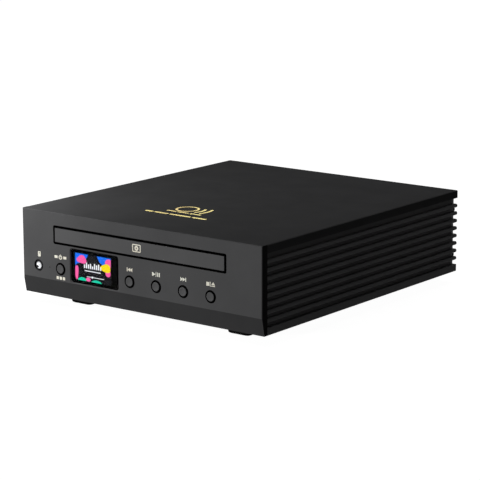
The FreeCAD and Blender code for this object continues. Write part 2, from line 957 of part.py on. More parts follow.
def pulley_gear():
    """Belt pulley with a pinion on top that drives the wide stage of the tray gear."""
    place = V(pulley_x, pulley_y, pulley_low)
    steps = [(pulley_radius, 0, flange_rim), (pulley_groove_radius, flange_rim, gear_width)]
    pulley = stepped(disc_sides, place, Z, steps)
    top = wheel_low + gear_width
    phase = train_angle + 180.0 + 180.0 / pinion_teeth
    pinion = gear(pinion_teeth, train_module, pulley_x, pulley_y, (pulley_low + gear_width, top), phase)
    hole = bore(pin_sides, post_radius + running_gap, place, Z, top - pulley_low)
    return joined([pulley, pinion]).cut(hole)


def motor_pulley():
    """Small pulley on the shaft of the loading motor."""
    place = V(motor_x, motor_y, pulley_low)
    steps = [(motor_pulley_radius, 0, flange_rim), (motor_groove_radius, flange_rim, gear_width)]
    length = pulley_low - deck_low - running_gap
    return joined([stepped(pin_sides, place, Z, steps), shaft(motor_shaft_radius, place, -Z, length)])


def belt_face(growth, height):
    """Area inside a belt line that runs round both pulley grooves at a given growth."""
    big_radius = pulley_groove_radius + growth
    small_radius = motor_groove_radius + growth
    towards_motor = math.atan2(motor_y - pulley_y, motor_x - pulley_x)
    reach = math.hypot(motor_x - pulley_x, motor_y - pulley_y)
    touch = math.acos((big_radius - small_radius) / reach)
    big, small = V(pulley_x, pulley_y, height), V(motor_x, motor_y, height)
    corners = []
    for i in range(disc_sides + 1):
        angle = towards_motor + touch + 2 * (math.pi - touch) * i / disc_sides
        corners.append(big + V(math.cos(angle), math.sin(angle), 0) * big_radius)
    for i in range(can_sides // 2 + 1):
        angle = towards_motor - touch + 4 * touch * i / can_sides
        corners.append(small + V(math.cos(angle), math.sin(angle), 0) * small_radius)
    return outline(corners[0], corners[1:])


def loading_belt():
    """Rubber belt of square section round both pulleys."""
    low = pulley_low + flange_rim + belt_gap
    height = gear_width - flange_rim - 2 * belt_gap
    outer = belt_face(belt_gap + belt_thickness, low).extrude(Z * height)
    return outer.cut(belt_face(belt_gap, low).extrude(Z * height))


def loading_motor():
    """Flat motor under the deck."""
    return prism(can_sides, motor_radius, V(motor_x, motor_y, deck_low), -Z, motor_height)


# Loader frame and clamp


def loader_frame():
    """Moulded frame: tray rails, front deck with gear posts, cam shelf, hinge bearings and ears."""
    rail_depth = (rail_front, frame_rear)
    lip = (rail_half - rail_lip, rail_half)
    wall = (rail_outer - frame_wall, rail_outer)
    ledge_top = rim_low - rail_gap
    right = [
        block((rail_half, rail_outer), rail_depth, (hinge_height, rail_top)),
        block(lip, rail_depth, (rim_top + rail_gap, rail_top)),
        block(lip, rail_depth, (ledge_top - ledge_height, ledge_top)),
        block(wall, (deck_front, frame_rear), (frame_low, hinge_height)),
        block((rail_half, rail_outer), span(disc_centre, 2 * bridge_half_depth), (rail_top, bridge_low)),
        hinge_bearing(),
    ]
    for y in (ear_front, ear_rear):
        ear = (wall[0], rail_outer + ear_reach)
        right.append(block(ear, span(y, ear_length), (frame_low, frame_low + ear_thickness)))
    width = span(0, 2 * rail_outer)
    middle = [
        block(width, (deck_front, deck_rear + web_thickness), (deck_low, deck_top)),
        block(width, (web_front, web_front + web_thickness), (shelf_low, deck_low)),
        cam_shelf(),
        block(width, (frame_rear - rear_wall_thickness, frame_rear), (frame_low, rear_wall_height)),
        gear_post(drive_x, drive_depth, wheel_low, drive_low + gear_width),
        gear_post(pulley_x, pulley_y, pulley_low, wheel_low + gear_width),
    ]
    cuts = [prism(can_sides, motor_shaft_radius + 2.0, V(motor_x, motor_y, deck_low), Z, deck_thickness)]
    for x, y in ear_places():
        cuts.append(prism(screw_sides, damper_neck_radius, V(x, y, frame_low), Z, ear_thickness))
    sides = right + [mirrored(s) for s in right]
    return joined(middle + sides).cut(cuts).removeSplitter()


def gear_post(x, y, seat, top):
    """Post on the deck with a shoulder on which a gear rests."""
    shoulder = prism(pin_sides, post_shoulder, V(x, y, deck_top), Z, seat - deck_top)
    return joined([shoulder, shaft(post_radius, V(x, y, seat), Z, top - seat)])


def cam_shelf():
    """Shelf with a lip, in which the foot of the cam slider runs."""
    width = span(0, 2 * (cam_half_length + cam_travel))
    lip_front = cam_front + cam_thickness + cam_gap
    shelf = block(width, (web_front + web_thickness, lip_front + cam_lip), (shelf_low, cam_low))
    lip = block(width, (lip_front, lip_front + cam_lip), (cam_low, cam_low + cam_lip_height))
    return joined([shelf, lip])


def hinge_bearing():
    """Right bearing of the traverse's pivots, on an arm from the rear wall."""
    inner = traverse_half_width + bearing_gap
    reach = pivot_radius + running_gap + bearing_wall
    depth = (hinge_depth - reach, frame_rear - rear_wall_thickness)
    arm = block((inner, inner + bearing_width), depth, span(hinge_height, 2 * reach))
    place = V(inner, hinge_depth, hinge_height)
    return arm.cut(bore(pin_sides, pivot_radius + running_gap, place, X, bearing_width))


def ear_places():
    x = rail_outer + ear_reach / 2 + 1.0
    return [(side * x, y) for side in (-1, 1) for y in (ear_front, ear_rear)]


def loader_dampers():
    """Rubber bushes in the ears of the frame."""
    dampers = []
    for x, y in ear_places():
        top = ear_thickness + damper_flange
        steps = [
            (damper_flange_radius, -damper_flange, 0),
            (damper_neck_radius, 0, ear_thickness),
            (damper_flange_radius, ear_thickness, top),
        ]
        place = V(x, y, frame_low)
        hole = screw_hole(place - Z * damper_flange, Z, panel_screw_radius, top + damper_flange)
        dampers.append(stepped(screw_sides, place, Z, steps).cut(hole))
    return Part.makeCompound(dampers)


def loader_screws():
    """Screws with wide heads through the dampers into the standoffs."""
    top = frame_low + ear_thickness + damper_flange
    length = ear_thickness + 2 * damper_flange + panel_screw_length
    sizes = (panel_screw_radius, wide_head, panel_screw_head_height, length)
    return Part.makeCompound([screw(V(x, y, top), -Z, *sizes) for x, y in ear_places()])


def standoffs():
    """Hexagonal posts on the base: four under the loader's ears and four that the main board snaps on."""
    posts = []
    tall = frame_low - damper_flange
    for x, y in ear_places():
        post = prism(screw_sides, standoff_radius, V(x, y, base_thickness), Z, tall - base_thickness)
        posts.append(post.cut(screw_hole(V(x, y, tall), -Z, panel_screw_radius, panel_screw_length)))
    for x, y in main_board_holes():
        tip = socket_floor + snap_height
        steps = [(standoff_radius, base_thickness, main_board_low), (snap_radius, main_board_low, tip)]
        posts.append(stepped(screw_sides, V(x, y, 0), Z, steps))
    return Part.makeCompound(posts)


def clamp_bridge():
    """Steel bridge over the tray with turned-up edges and a hole for the puck's hub."""
    width = span(0, 2 * rail_outer)
    depth = span(disc_centre, 2 * bridge_half_depth)
    top = bridge_low + bridge_thickness
    plate = block(width, depth, (bridge_low, top))
    ribs = [
        block(width, (depth[0], depth[0] + bridge_thickness), (top, top + bridge_rib)),
        block(width, (depth[1] - bridge_thickness, depth[1]), (top, top + bridge_rib)),
    ]
    radius = puck_hub_radius + bridge_hole_gap
    hole = bore(disc_sides, radius, V(0, disc_centre, bridge_low), Z, bridge_thickness)
    return joined([plate] + ribs).cut(hole)


def clamp_puck():
    """Lower half of the clamp: a ring that presses the disc, under a hub that hangs in the bridge."""
    top = bridge_low + bridge_thickness - puck_low
    place = V(0, disc_centre, puck_low)
    body = stepped(disc_sides, place, Z, [(puck_radius, 0, puck_rim), (puck_hub_radius, puck_rim, top)])
    return body.cut(prism(disc_sides, puck_recess_radius, place, Z, puck_recess_depth))


def clamp_cap():
    """Upper half of the clamp, whose rim rests on the bridge, with a round nub that centres it."""
    place = V(0, disc_centre, bridge_low + bridge_thickness)
    cap = prism(disc_sides, cap_radius, place, Z, cap_thickness)
    return joined([cap, shaft(cap_nub_radius, place + Z * cap_thickness, Z, cap_nub_height)])


# Traverse and pickup


def traverse_frame():
    """Tray-shaped frame with a window for the sled, rod seats, a gear post, a cam pin and two pivots."""
    inner = traverse_half_width - traverse_wall
    rod_front = disc_centre + rod_from_spindle
    rod_end = rod_front + rod_length
    width = span(0, 2 * traverse_half_width)
    pan = block(width, (traverse_front, traverse_rear), (skirt_low, traverse_top))
    hollow = (traverse_front + traverse_wall, traverse_rear - traverse_wall)
    cuts = [
        block(span(0, 2 * inner), hollow, (skirt_low, plate_low)),
        block(span(0, 2 * window_half), (rod_front, rod_end), (plate_low, traverse_top)),
        prism(can_sides, spindle_hole_radius, V(0, disc_centre, plate_low), Z, traverse_plate),
    ]
    post_low = sled_wheel_low - gear_gap / 2
    post = V(sled_gear_x, disc_centre + sled_gear_y, post_low)
    pin = V(0, cam_front + seam, hinge_height)
    solids = [
        pan.cut(cuts),
        shaft(post_radius, post, Z, plate_low - post_low),
        prism(pin_sides, cam_pin_radius, pin, Y, traverse_front + traverse_wall - pin.y),
    ]
    place = V(inner, hinge_depth, hinge_height)
    solids += both_sides(shaft(pivot_radius, place, X, traverse_wall + pivot_length))
    for seat in rod_seats():
        solids += both_sides(seat)
    return lowered(joined(solids))


def rod_seats():
    """Blocks under the plate that hold the right rod between their faces."""
    width = 2 * (rod_radius + rod_seat_wall)
    low = rod_height - rod_radius - rod_seat_wall
    first = disc_centre + rod_from_spindle
    last = first + rod_length
    return [
        block(span(rod_x, width), (first - rod_seat_depth, first), (low, plate_low)),
        block(span(rod_x, width), (last, last + rod_seat_depth), (low, plate_low)),
    ]


def guide_rods():
    rod = prism(pin_sides, rod_radius, V(rod_x, disc_centre + rod_from_spindle, rod_height), Y, rod_length)
    return lowered(Part.makeCompound(both_sides(rod)))


def spindle_motor():
    """Flat motor under the traverse."""
    place = V(0, disc_centre, plate_low)
    return lowered(prism(can_sides, spindle_motor_radius, place, -Z, spindle_motor_height))


def turntable():
    """Turntable with a centring cone, on its spindle."""
    place = V(0, disc_centre, disc_seat)
    steps = [
        (turntable_hub_radius, turntable_low - disc_seat, -turntable_rim),
        (turntable_radius, -turntable_rim, 0),
        (cone_radius, 0, cone_height),
    ]
    body = stepped(disc_sides, place, Z, steps)
    body = body.makeChamfer(cone_bevel, edges_where(body, lambda p: p.z > disc_seat + cone_height - seam))
    low = plate_low + running_gap
    return lowered(joined([body, shaft(spindle_radius, V(0, disc_centre, low), Z, turntable_low - low)]))


def pickup_sled():
    """Sled with a long bearing on the left rod, a fork on the right rod and a rack beside it."""
    middle = disc_centre + inner_radius
    depth = (middle - sled_front, middle + sled_rear)
    fork = span(middle, 2 * fork_half)
    rack_root = sled_rack_x - 1.25 * sled_rack_module
    gear_y = disc_centre + sled_gear_y
    pitch = math.pi * sled_rack_module
    rack_depth = (gear_y - pickup_travel - pitch, gear_y + 2 * pitch)
    rack_up = (sled_rack_low, sled_rack_low + sled_rack_width)
    rack_back_to = sled_rack_x - rack_root + rod_seat_wall
    solids = [
        block(span(0, 2 * sled_half_width), depth, (sled_low, sled_top)),
        block(span(0, 2 * sled_head_half), depth, (sled_top, sled_head_top)),
        block((-bearing_outer, -sled_half_width), depth, (sled_low, bearing_top)),
        block((sled_half_width, bearing_outer), fork, (sled_low, bearing_top)),
        block((sled_half_width, rack_root), fork, (sled_rack_low, sled_low)),
        rack(sled_rack_module, sled_rack_x, 1, *rack_depth, gear_y, rack_back_to, rack_up),
    ]
    clear = rod_radius + sled_gap
    pocket = (lens_holder_width + 2 * lens_pocket_gap, lens_holder_depth + 2 * lens_pocket_gap)
    cuts = [
        bore(pin_sides, clear, V(-rod_x, depth[0], rod_height), Y, depth[1] - depth[0]),
        block((rod_x - clear, bearing_outer), fork, span(rod_height, 2 * clear)),
        block(span(0, pocket[0]), span(middle, pocket[1]), (lens_pocket_floor, sled_head_top)),
    ]
    return lowered(joined(solids).cut(cuts).removeSplitter())


def pickup_lens():
    """Objective lens in its holder, floating in the sled's pocket."""
    middle = disc_centre + inner_radius
    across = span(0, lens_holder_width)
    holder = block(across, span(middle, lens_holder_depth), (lens_holder_low, lens_holder_top))
    lens = prism(disc_sides, lens_radius, V(0, middle, lens_holder_top), Z, lens_top - lens_holder_top)
    return lowered(joined([holder, lens]))


def sled_gear():
    """Double gear between the sled motor's pinion and the sled's rack."""
    y = disc_centre + sled_gear_y
    middle = sled_wheel_low + sled_rack_width
    top = sled_rack_low + sled_rack_width
    small = gear(sled_small_teeth, sled_rack_module, sled_gear_x, y, (middle, top), 180.0)
    wheel = gear(sled_wheel_teeth, sled_rack_module, sled_gear_x, y, (sled_wheel_low, middle), sled_angle())
    place = V(sled_gear_x, y, sled_wheel_low)
    hole = bore(pin_sides, post_radius + running_gap, place, Z, top - sled_wheel_low)
    return lowered(joined([wheel, small]).cut(hole))


def sled_angle():
    """Direction from the sled gear to the sled motor, in degrees."""
    return math.degrees(math.atan2(-sled_motor_y, sled_motor_x))


def sled_pinion():
    """Pinion on the shaft of the sled motor."""
    x, y = sled_motor_place()
    top = sled_wheel_low + sled_rack_width
    phase = sled_angle() + 180.0 + 180.0 / sled_pinion_teeth
    pinion = gear(sled_pinion_teeth, sled_rack_module, x, y, (sled_wheel_low, top), phase)
    axle = shaft(motor_shaft_radius, V(x, y, top), Z, sled_motor_gap - running_gap)
    return lowered(joined([pinion, axle]))


def sled_motor_place():
    """Where the sled motor's shaft stands: x and y."""
    return sled_gear_x + sled_motor_x, disc_centre + sled_gear_y - sled_motor_y


def sled_motor():
    """Small motor that hangs from the traverse plate."""
    low = sled_wheel_low + sled_rack_width + sled_motor_gap
    return lowered(prism(can_sides, sled_motor_radius, V(*sled_motor_place(), low), Z, plate_low - low))


def cam_slider():
    """Upright slider whose sloping slot carries the traverse's pin."""
    depth = (cam_front, cam_front + cam_thickness)
    plate = block(span(0, 2 * cam_half_length), depth, (cam_low, cam_top))
    reach = hinge_depth - (cam_front + cam_thickness / 2)
    rise = reach * math.sin(math.radians(drop_angle))
    slope = V(-cam_travel, 0, rise)
    over = V(slope).normalize() * cam_slot_slack
    start = V(0, cam_front, hinge_height - rise)
    slot = stadium(start - over, start + slope + over, cam_pin_radius + cam_slot_slack, cam_thickness)
    across = (cam_half_length / 2, cam_half_length - cam_foot)
    window = block(across, depth, (cam_low + cam_foot, cam_top - cam_foot))
    return plate.cut([slot, window])


# Main board, sockets and ribbon


def main_board_holes():
    """Places of the posts that hold the main board."""
    left, right = span(0, 2 * (main_board_half_width - board_inset))
    depths = (main_board_front + board_inset, main_board_rear - port_depth - board_inset)
    return [(x, y) for x in (left, right) for y in depths]


def main_board():
    """Board on four posts, with the ribbon's socket at its front edge."""
    width = span(0, 2 * main_board_half_width)
    board = block(width, (main_board_front, main_board_rear), (main_board_low, socket_floor))
    depth = (main_board_front, main_board_front + ribbon_socket_depth)
    height = (socket_floor, socket_floor + ribbon_socket_depth)
    socket = block(span(ribbon_x, ribbon_socket_width), depth, height)
    holes = [snap_hole(V(x, y, main_board_low), Z) for x, y in main_board_holes()]
    return joined([board, socket]).cut(holes)


def snap_hole(place, axis):
    """Hole in a board for the tip of the post that it snaps on."""
    return prism(screw_sides, snap_radius + hole_slack, place, axis, board_thickness)


def front_ribbon():
    """Flat cable from the front board down to the base, back under the loader and up to the main board."""
    t = ribbon_thickness
    first = board_back + ribbon_socket_depth / 2
    last = main_board_front
    turn = last - ribbon_turn
    high = socket_floor + ribbon_socket_depth / 2
    low = base_thickness
    steps = [
        (first, low),
        (turn, low),
        (turn, high - t),
        (last, high - t),
        (last, high),
        (turn - t, high),
        (turn - t, low + t),
        (first + t, low + t),
        (first + t, ribbon_top),
    ]
    left = ribbon_x - ribbon_width / 2
    strip = outline(V(left, first, ribbon_top), [V(left, y, z) for y, z in steps])
    return strip.extrude(X * ribbon_width)


def port(x):
    """Limits of the socket at a place behind the rear panel: x, y and z."""
    width, height = socket_sizes[x]
    rear = body_depth + socket_proud
    return span(x, width), (rear - port_depth, rear), (socket_floor, socket_floor + height)


def shell(x, wall):
    """Shell of a socket, open to the rear."""
    across, deep, up = port(x)
    inside = ((across[0] + wall, across[1] - wall), (deep[0] + 1.0, deep[1]), (up[0] + wall, up[1] - wall))
    return block(across, deep, up).cut(block(*inside))


def contacts(x, width, thickness, middle):
    """Contact tongue of a socket at a given height."""
    _, deep, _ = port(x)
    return block(span(x, width), (deep[0], deep[1] - tongue_setback), span(middle, thickness))


def usb_a_socket():
    """Wide USB socket for a memory stick or an outboard drive."""
    _, _, up = port(usb_a_x)
    return joined([shell(usb_a_x, 0.4), contacts(usb_a_x, 11.2, 1.8, up[1] - 1.9)])


def usb_c_socket():
    """Small USB socket, with the ends of its shell bevelled."""
    across, deep, up = port(usb_c_x)
    bevel = (up[1] - up[0]) * 0.3
    body = block(across, deep, up)
    body = body.makeChamfer(bevel, lines_along(body, Y))
    mouth = block((across[0] + 0.4, across[1] - 0.4), (deep[0] + 1.0, deep[1]), (up[0] + 0.4, up[1] - 0.4))
    mouth = mouth.makeChamfer(bevel * 0.75, lines_along(mouth, Y))
    return joined([body.cut(mouth), contacts(usb_c_x, 6.6, 0.7, (up[0] + up[1]) / 2)])


def i2s_socket():
    """Digital link socket with the lower corners of its shell cut off."""
    across, deep, up = port(i2s_x)

    def section(inset, front):
        left, right = across[0] + inset, across[1] - inset
        low, high = up[0] + inset, up[1] - inset
        cut = 1.8 - 0.4 * inset
        slope = 1.4 * cut
        corners = [
            V(left, front, high),
            V(right, front, high),
            V(right, front, low + slope),
            V(right - cut, front, low),
            V(left + cut, front, low),
            V(left, front, low + slope),
        ]
        return outline(corners[0], corners[1:]).extrude(Y * (deep[1] - front))

    body = section(0, deep[0]).cut(section(0.6, deep[0] + 1.0))
    return joined([body, contacts(i2s_x, 10.6, 0.9, (up[0] + up[1]) / 2 + 0.5)])


def optical_mouth():
    """Limits of the optical socket's opening: x and z."""
    across, _, up = port(optical_x)
    return (across[0] + 0.8, across[1] - 0.8), (up[0] + 1.0, up[1] - 1.0)


def optical_socket():
    """Optical socket with a square mouth, a light tube at its far end and bearings for its flap."""
    across, deep, up = port(optical_x)
    mouth_x, mouth_z = optical_mouth()
    body = block(across, deep, up).cut(block(mouth_x, (deep[0] + 1.0, deep[1]), mouth_z))
    tube = V(optical_x, deep[0] + 1.0, (mouth_z[0] + mouth_z[1]) / 2)
    axle = shutter_axle()
    reach = mouth_x[1] - axle.x + shutter_pin_length
    hole = bore(screw_sides, shutter_pin_radius + running_gap, axle - X * reach, X, 2 * reach)
    return joined([body, prism(pin_sides, 1.2, tube, Y, 1.5)]).cut(hole)


def shutter_axle():
    """Middle of the flap's axle."""
    _, mouth_z = optical_mouth()
    _, deep, _ = port(optical_x)
    half = shutter_thickness / 2
    return V(optical_x, deep[1] - shutter_setback - half, mouth_z[1] - shutter_gap - half)


def optical_shutter():
    """Flap that closes the optical socket, on two pins along its upper edge, and swings inward."""
    mouth_x, mouth_z = optical_mouth()
    axle = shutter_axle()
    across = (mouth_x[0] + shutter_gap, mouth_x[1] - shutter_gap)
    up = (mouth_z[0] + shutter_gap, mouth_z[1] - shutter_gap)
    flap = block(across, span(axle.y, shutter_thickness), up)
    upper = [e for e in lines_along(flap, X) if e.CenterOfMass.z > axle.z]
    flap = flap.makeChamfer(shutter_thickness / 3, upper)
    reach = mouth_x[1] - axle.x + shutter_pin_length - seam
    return joined([flap, shaft(shutter_pin_radius, axle - X * reach, X, 2 * reach)])


def coaxial_socket():
    """Coaxial jack: a block on the board and a barrel through the rear panel."""
    top = coaxial_height + coaxial_block / 2
    body = block(span(coaxial_x, coaxial_block), (rear_face - coaxial_block, rear_face), (socket_floor, top))
    place = V(coaxial_x, rear_face, coaxial_height)
    collar = prism(disc_sides, coaxial_collar, place, Y, rear_thickness)
    barrel = lying(coaxial_radius, coaxial_x, coaxial_height, (body_depth, coaxial_tip))
    hole = bore(pin_sides, coaxial_bore_radius, place, Y, coaxial_tip - rear_face)
    return joined([body, collar, barrel]).cut(hole)


def power_socket():
    """Power jack with a round mouth and its centre pin."""
    across, deep, up = port(power_socket_x)
    middle = (up[0] + up[1]) / 2
    mouth = lying(power_mouth_radius, power_socket_x, middle, (deep[0] + 1.0, deep[1]))
    place = V(power_socket_x, deep[0] + 1.0, middle)
    pin = prism(pin_sides, power_pin_radius, place, Y, port_depth - 1.0 - tongue_setback)
    return joined([block(across, deep, up).cut(mouth), pin])


def board_parts():
    """Chips and capacitors that stand on the main board."""
    y = main_board_front + chip_depth
    parts = []
    for i in range(chip_count):
        across = span(chip_first_x + i * chip_pitch, chip_size)
        parts.append(block(across, span(y, chip_size), (socket_floor, socket_floor + chip_height)))
    for x in span(capacitor_x, capacitor_pitch):
        parts += both_sides(prism(pin_sides, capacitor_radius, V(x, y, socket_floor), Z, capacitor_height))
    return Part.makeCompound(parts)


def write(node, shape):
    """Move a piece to the part's own frame and write it."""
    shape.translated(origin).exportStep(f"parts/{node}.step")


def main():
    os.makedirs("parts", exist_ok=True)
    right = side_panel()
    pieces = {
        "front_panel": front_panel(),
        "top_cover": top_cover(),
        "right_side_panel": right,
        "left_side_panel": mirrored(right),
        "bottom_plate": bottom_plate(),
        "rear_panel": rear_panel(),
        "corner_brackets": corner_brackets(),
        "panel_screws": panel_screws(),
        "display_glass": display_glass(),
        "display_module": display_module(),
        "ir_window": ir_window(),
        "ir_receiver": ir_receiver(),
        "status_light": status_light(),
        "front_board": front_board(),
        "tact_switches": tact_switches(),
        "power_button": button(power_x),
        "tray_door": tray_door(),
        "disc_tray": disc_tray(),
        "tray_gear": tray_gear(),
        "pulley_gear": pulley_gear(),
        "motor_pulley": motor_pulley(),
        "loading_belt": loading_belt(),
        "loading_motor": loading_motor(),
        "loader_frame": loader_frame(),
        "loader_dampers": loader_dampers(),
        "loader_screws": loader_screws(),
        "standoffs": standoffs(),
        "clamp_bridge": clamp_bridge(),
        "clamp_puck": clamp_puck(),
        "clamp_cap": clamp_cap(),
        "traverse_plate": traverse_frame(),
        "guide_rods": guide_rods(),
        "spindle_motor": spindle_motor(),
        "turntable": turntable(),
        "pickup_sled": pickup_sled(),
        "pickup_lens": pickup_lens(),
        "sled_gear": sled_gear(),
        "sled_pinion": sled_pinion(),
        "sled_motor": sled_motor(),
        "cam_slider": cam_slider(),
        "main_board": main_board(),
        "board_parts": board_parts(),
        "front_ribbon": front_ribbon(),
        "coaxial_socket": coaxial_socket(),
        "optical_socket": optical_socket(),
        "optical_shutter": optical_shutter(),
        "i2s_socket": i2s_socket(),
        "usb_a_socket": usb_a_socket(),
        "usb_c_socket": usb_c_socket(),
        "power_socket": power_socket(),
    }
    for name, x in zip(key_names, button_places[1:]):
        pieces[f"{name}_button"] = button(x)
    for name, (x, y) in foot_places().items():
        pieces[f"foot_{name}"] = foot(x, y)
    for node, shape in pieces.items():
        write(node, shape)


main()
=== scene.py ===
import json
import math

import bmesh
import bpy
from mathutils import Matrix, Vector

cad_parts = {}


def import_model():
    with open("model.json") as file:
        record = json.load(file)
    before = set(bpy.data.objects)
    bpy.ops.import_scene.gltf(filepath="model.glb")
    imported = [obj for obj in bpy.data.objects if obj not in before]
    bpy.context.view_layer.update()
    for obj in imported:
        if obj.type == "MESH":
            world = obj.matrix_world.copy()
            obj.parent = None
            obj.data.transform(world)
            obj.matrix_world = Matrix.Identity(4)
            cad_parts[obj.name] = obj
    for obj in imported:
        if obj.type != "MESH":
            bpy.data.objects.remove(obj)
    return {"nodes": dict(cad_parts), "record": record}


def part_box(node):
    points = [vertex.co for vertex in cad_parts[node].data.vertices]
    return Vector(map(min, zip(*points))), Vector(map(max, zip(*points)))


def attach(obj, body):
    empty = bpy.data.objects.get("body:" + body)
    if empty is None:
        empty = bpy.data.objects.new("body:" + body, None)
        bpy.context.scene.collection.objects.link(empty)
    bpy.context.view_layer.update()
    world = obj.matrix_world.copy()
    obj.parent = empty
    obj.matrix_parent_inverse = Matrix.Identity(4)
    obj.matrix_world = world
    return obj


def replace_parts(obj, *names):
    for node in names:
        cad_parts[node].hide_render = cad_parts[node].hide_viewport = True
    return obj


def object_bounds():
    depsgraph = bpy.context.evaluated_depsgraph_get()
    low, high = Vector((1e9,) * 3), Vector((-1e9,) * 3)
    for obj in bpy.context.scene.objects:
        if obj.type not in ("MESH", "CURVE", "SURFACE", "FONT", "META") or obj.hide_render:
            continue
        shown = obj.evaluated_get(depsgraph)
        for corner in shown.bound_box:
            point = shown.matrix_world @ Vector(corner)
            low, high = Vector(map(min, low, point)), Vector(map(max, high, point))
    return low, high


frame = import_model()
cad_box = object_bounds()

# The scene is in metres, in the CAD model's frame: x to the right, y back, z up. Outlines are drawn in
# millimetres, as (x, height over the body's underside) on the front and rear and as (x, y) on the top.
MM = 0.001
LIFT = 0.04 * MM
slot_of = {part["node"]: part["material_slot"] for part in frame["record"]["subparts"]}
panel_low, panel_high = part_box("front_panel")
front_y = panel_low.y
body_low = panel_low.z
top_z = panel_high.z
rear_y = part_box("rear_panel")[1].y
side_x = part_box("right_side_panel")[1].x
door_low, door_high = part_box("tray_door")
door_y = door_low.y - front_y

# The photograph's camera, worked out from the eight corners of the body.
CAMERA_PLACE = Vector((0.7728, -1.01653, 0.31148))
CAMERA_AZIMUTH = math.radians(37.468)
CAMERA_ELEVATION = math.radians(12.292)
CAMERA_ROLL = math.radians(-0.0965)
CAMERA_LENS = 152.14
CAMERA_SENSOR = 36.0
CAMERA_REACH = 50.0


# Materials

NOISE_RANGE = (0.3, 0.7)
BLEND_RANGE = (0.35, 0.65)
GRAIN_DEPTH = 0.03 * MM
CLOUD_TO_GRAIN = 60
ROUGH_SPREAD = 0.12
# Slopes of the normal over which bevels and side edges fade into painted shade.
BEVEL_NORMAL = (-0.06, -0.15)
EDGE_NORMAL = (0.75, 0.95)
# Depths under the fin tips over which the side panels' grooves darken into painted shade.
GROOVE_DEPTH = (0.8 * MM, 2.2 * MM)
BRUSHED_X = (0.03, 1.0, 1.0)
ANODISED = (0.095, 0.095, 0.097)


def filled(node, values):
    """Sets inputs of a node by their names and gives the node back."""
    for name, value in values.items():
        node.inputs[name].default_value = value
    return node


def new_material(name):
    """Material with its node tree, its Principled shader and object coordinates."""
    material = bpy.data.materials.new(name)
    material.use_nodes = True
    tree = material.node_tree
    place = tree.nodes.new("ShaderNodeTexCoord")
    return material, tree, tree.nodes["Principled BSDF"], place.outputs["Object"]


def stretched(tree, place, scale):
    """Coordinates scaled by a different factor along each axis."""
    mapping = filled(tree.nodes.new("ShaderNodeMapping"), {"Scale": scale})
    tree.links.new(place, mapping.inputs["Vector"])
    return mapping.outputs["Vector"]


def noise(tree, place, scale):
    """Smooth noise."""
    node = filled(tree.nodes.new("ShaderNodeTexNoise"), {"Scale": scale, "Detail": 3.0})
    tree.links.new(place, node.inputs["Vector"])
    return node.outputs["Fac"]


def ranged(tree, value, source, target):
    """Value carried over from one range to another, and held at its ends."""
    values = {"From Min": source[0], "From Max": source[1], "To Min": target[0], "To Max": target[1]}
    node = filled(tree.nodes.new("ShaderNodeMapRange"), values)
    tree.links.new(value, node.inputs["Value"])
    return node.outputs["Result"]


def blended(tree, value, first, second):
    """Colour between two others."""
    node = tree.nodes.new("ShaderNodeValToRGB")
    for element, position, colour in zip(node.color_ramp.elements, BLEND_RANGE, (first, second)):
        element.position = position
        element.color = (*colour, 1.0)
    tree.links.new(value, node.inputs["Fac"])
    return node.outputs["Color"]


def calculated(tree, operation, *values):
    """Result of a sum on one value or two."""
    node = tree.nodes.new("ShaderNodeMath")
    node.operation = operation
    for value, socket in zip(values, node.inputs):
        tree.links.new(value, socket)
    return node.outputs[0]


def bump(tree, shader, value, strength, distance):
    """Relief on a shader's surface."""
    node = filled(tree.nodes.new("ShaderNodeBump"), {"Strength": strength, "Distance": distance})
    tree.links.new(value, node.inputs["Height"])
    tree.links.new(node.outputs["Normal"], shader.inputs["Normal"])


def surface(
    name, colour, rough, metallic=0.0, specular=0.5, grain=2500, relief=0.1, stretch=(1, 1, 1), vary=0.12
):
    """Grained or brushed surface whose colour and roughness vary a little."""
    material, tree, shader, place = new_material(name)
    place = stretched(tree, place, stretch)
    filled(shader, {"Metallic": metallic, "Specular IOR Level": specular})
    fine = noise(tree, place, grain)
    broad = noise(tree, place, grain / CLOUD_TO_GRAIN)
    darker = tuple(c * (1 - vary) for c in colour)
    lighter = tuple(min(1.0, c * (1 + vary)) for c in colour)
    tree.links.new(blended(tree, broad, darker, lighter), shader.inputs["Base Color"])
    spread = (rough * (1 - ROUGH_SPREAD), rough * (1 + ROUGH_SPREAD))
    tree.links.new(ranged(tree, fine, NOISE_RANGE, spread), shader.inputs["Roughness"])
    bump(tree, shader, fine, relief, GRAIN_DEPTH)
    return material


def parts_of(tree, kind):
    """Size of the sideways part and the upright part of a texture coordinate, such as the normal."""
    place = tree.nodes.new("ShaderNodeTexCoord")
    split = tree.nodes.new("ShaderNodeSeparateXYZ")
    tree.links.new(place.outputs[kind], split.inputs[0])
    return calculated(tree, "ABSOLUTE", split.outputs["X"]), split.outputs["Z"]


def toned(material, factor):
    """Material whose base colour is scaled by a factor from its node tree."""
    tree = material.node_tree
    target = tree.nodes["Principled BSDF"].inputs["Base Color"]
    colour = target.links[0].from_socket
    scaled = tree.nodes.new("ShaderNodeVectorMath")
    scaled.operation = "SCALE"
    tree.links.new(colour, scaled.inputs[0])
    tree.links.new(factor, scaled.inputs["Scale"])
    tree.links.new(scaled.outputs[0], target)
    return material


def plate_painted_shade(name, below, beside):
    """Anodised panel with painted shade, darker by two shares: one on its bevel, whose face looks down, and
    one on its side edges.
    """
    material = surface(name, ANODISED, 0.37, specular=0.0, grain=3000, vary=0.04)
    tree = material.node_tree
    across, up = parts_of(tree, "Normal")
    bevel = ranged(tree, up, BEVEL_NORMAL, (1.0, below))
    edges = ranged(tree, across, EDGE_NORMAL, (1.0, beside))
    return toned(material, calculated(tree, "MULTIPLY", bevel, edges))


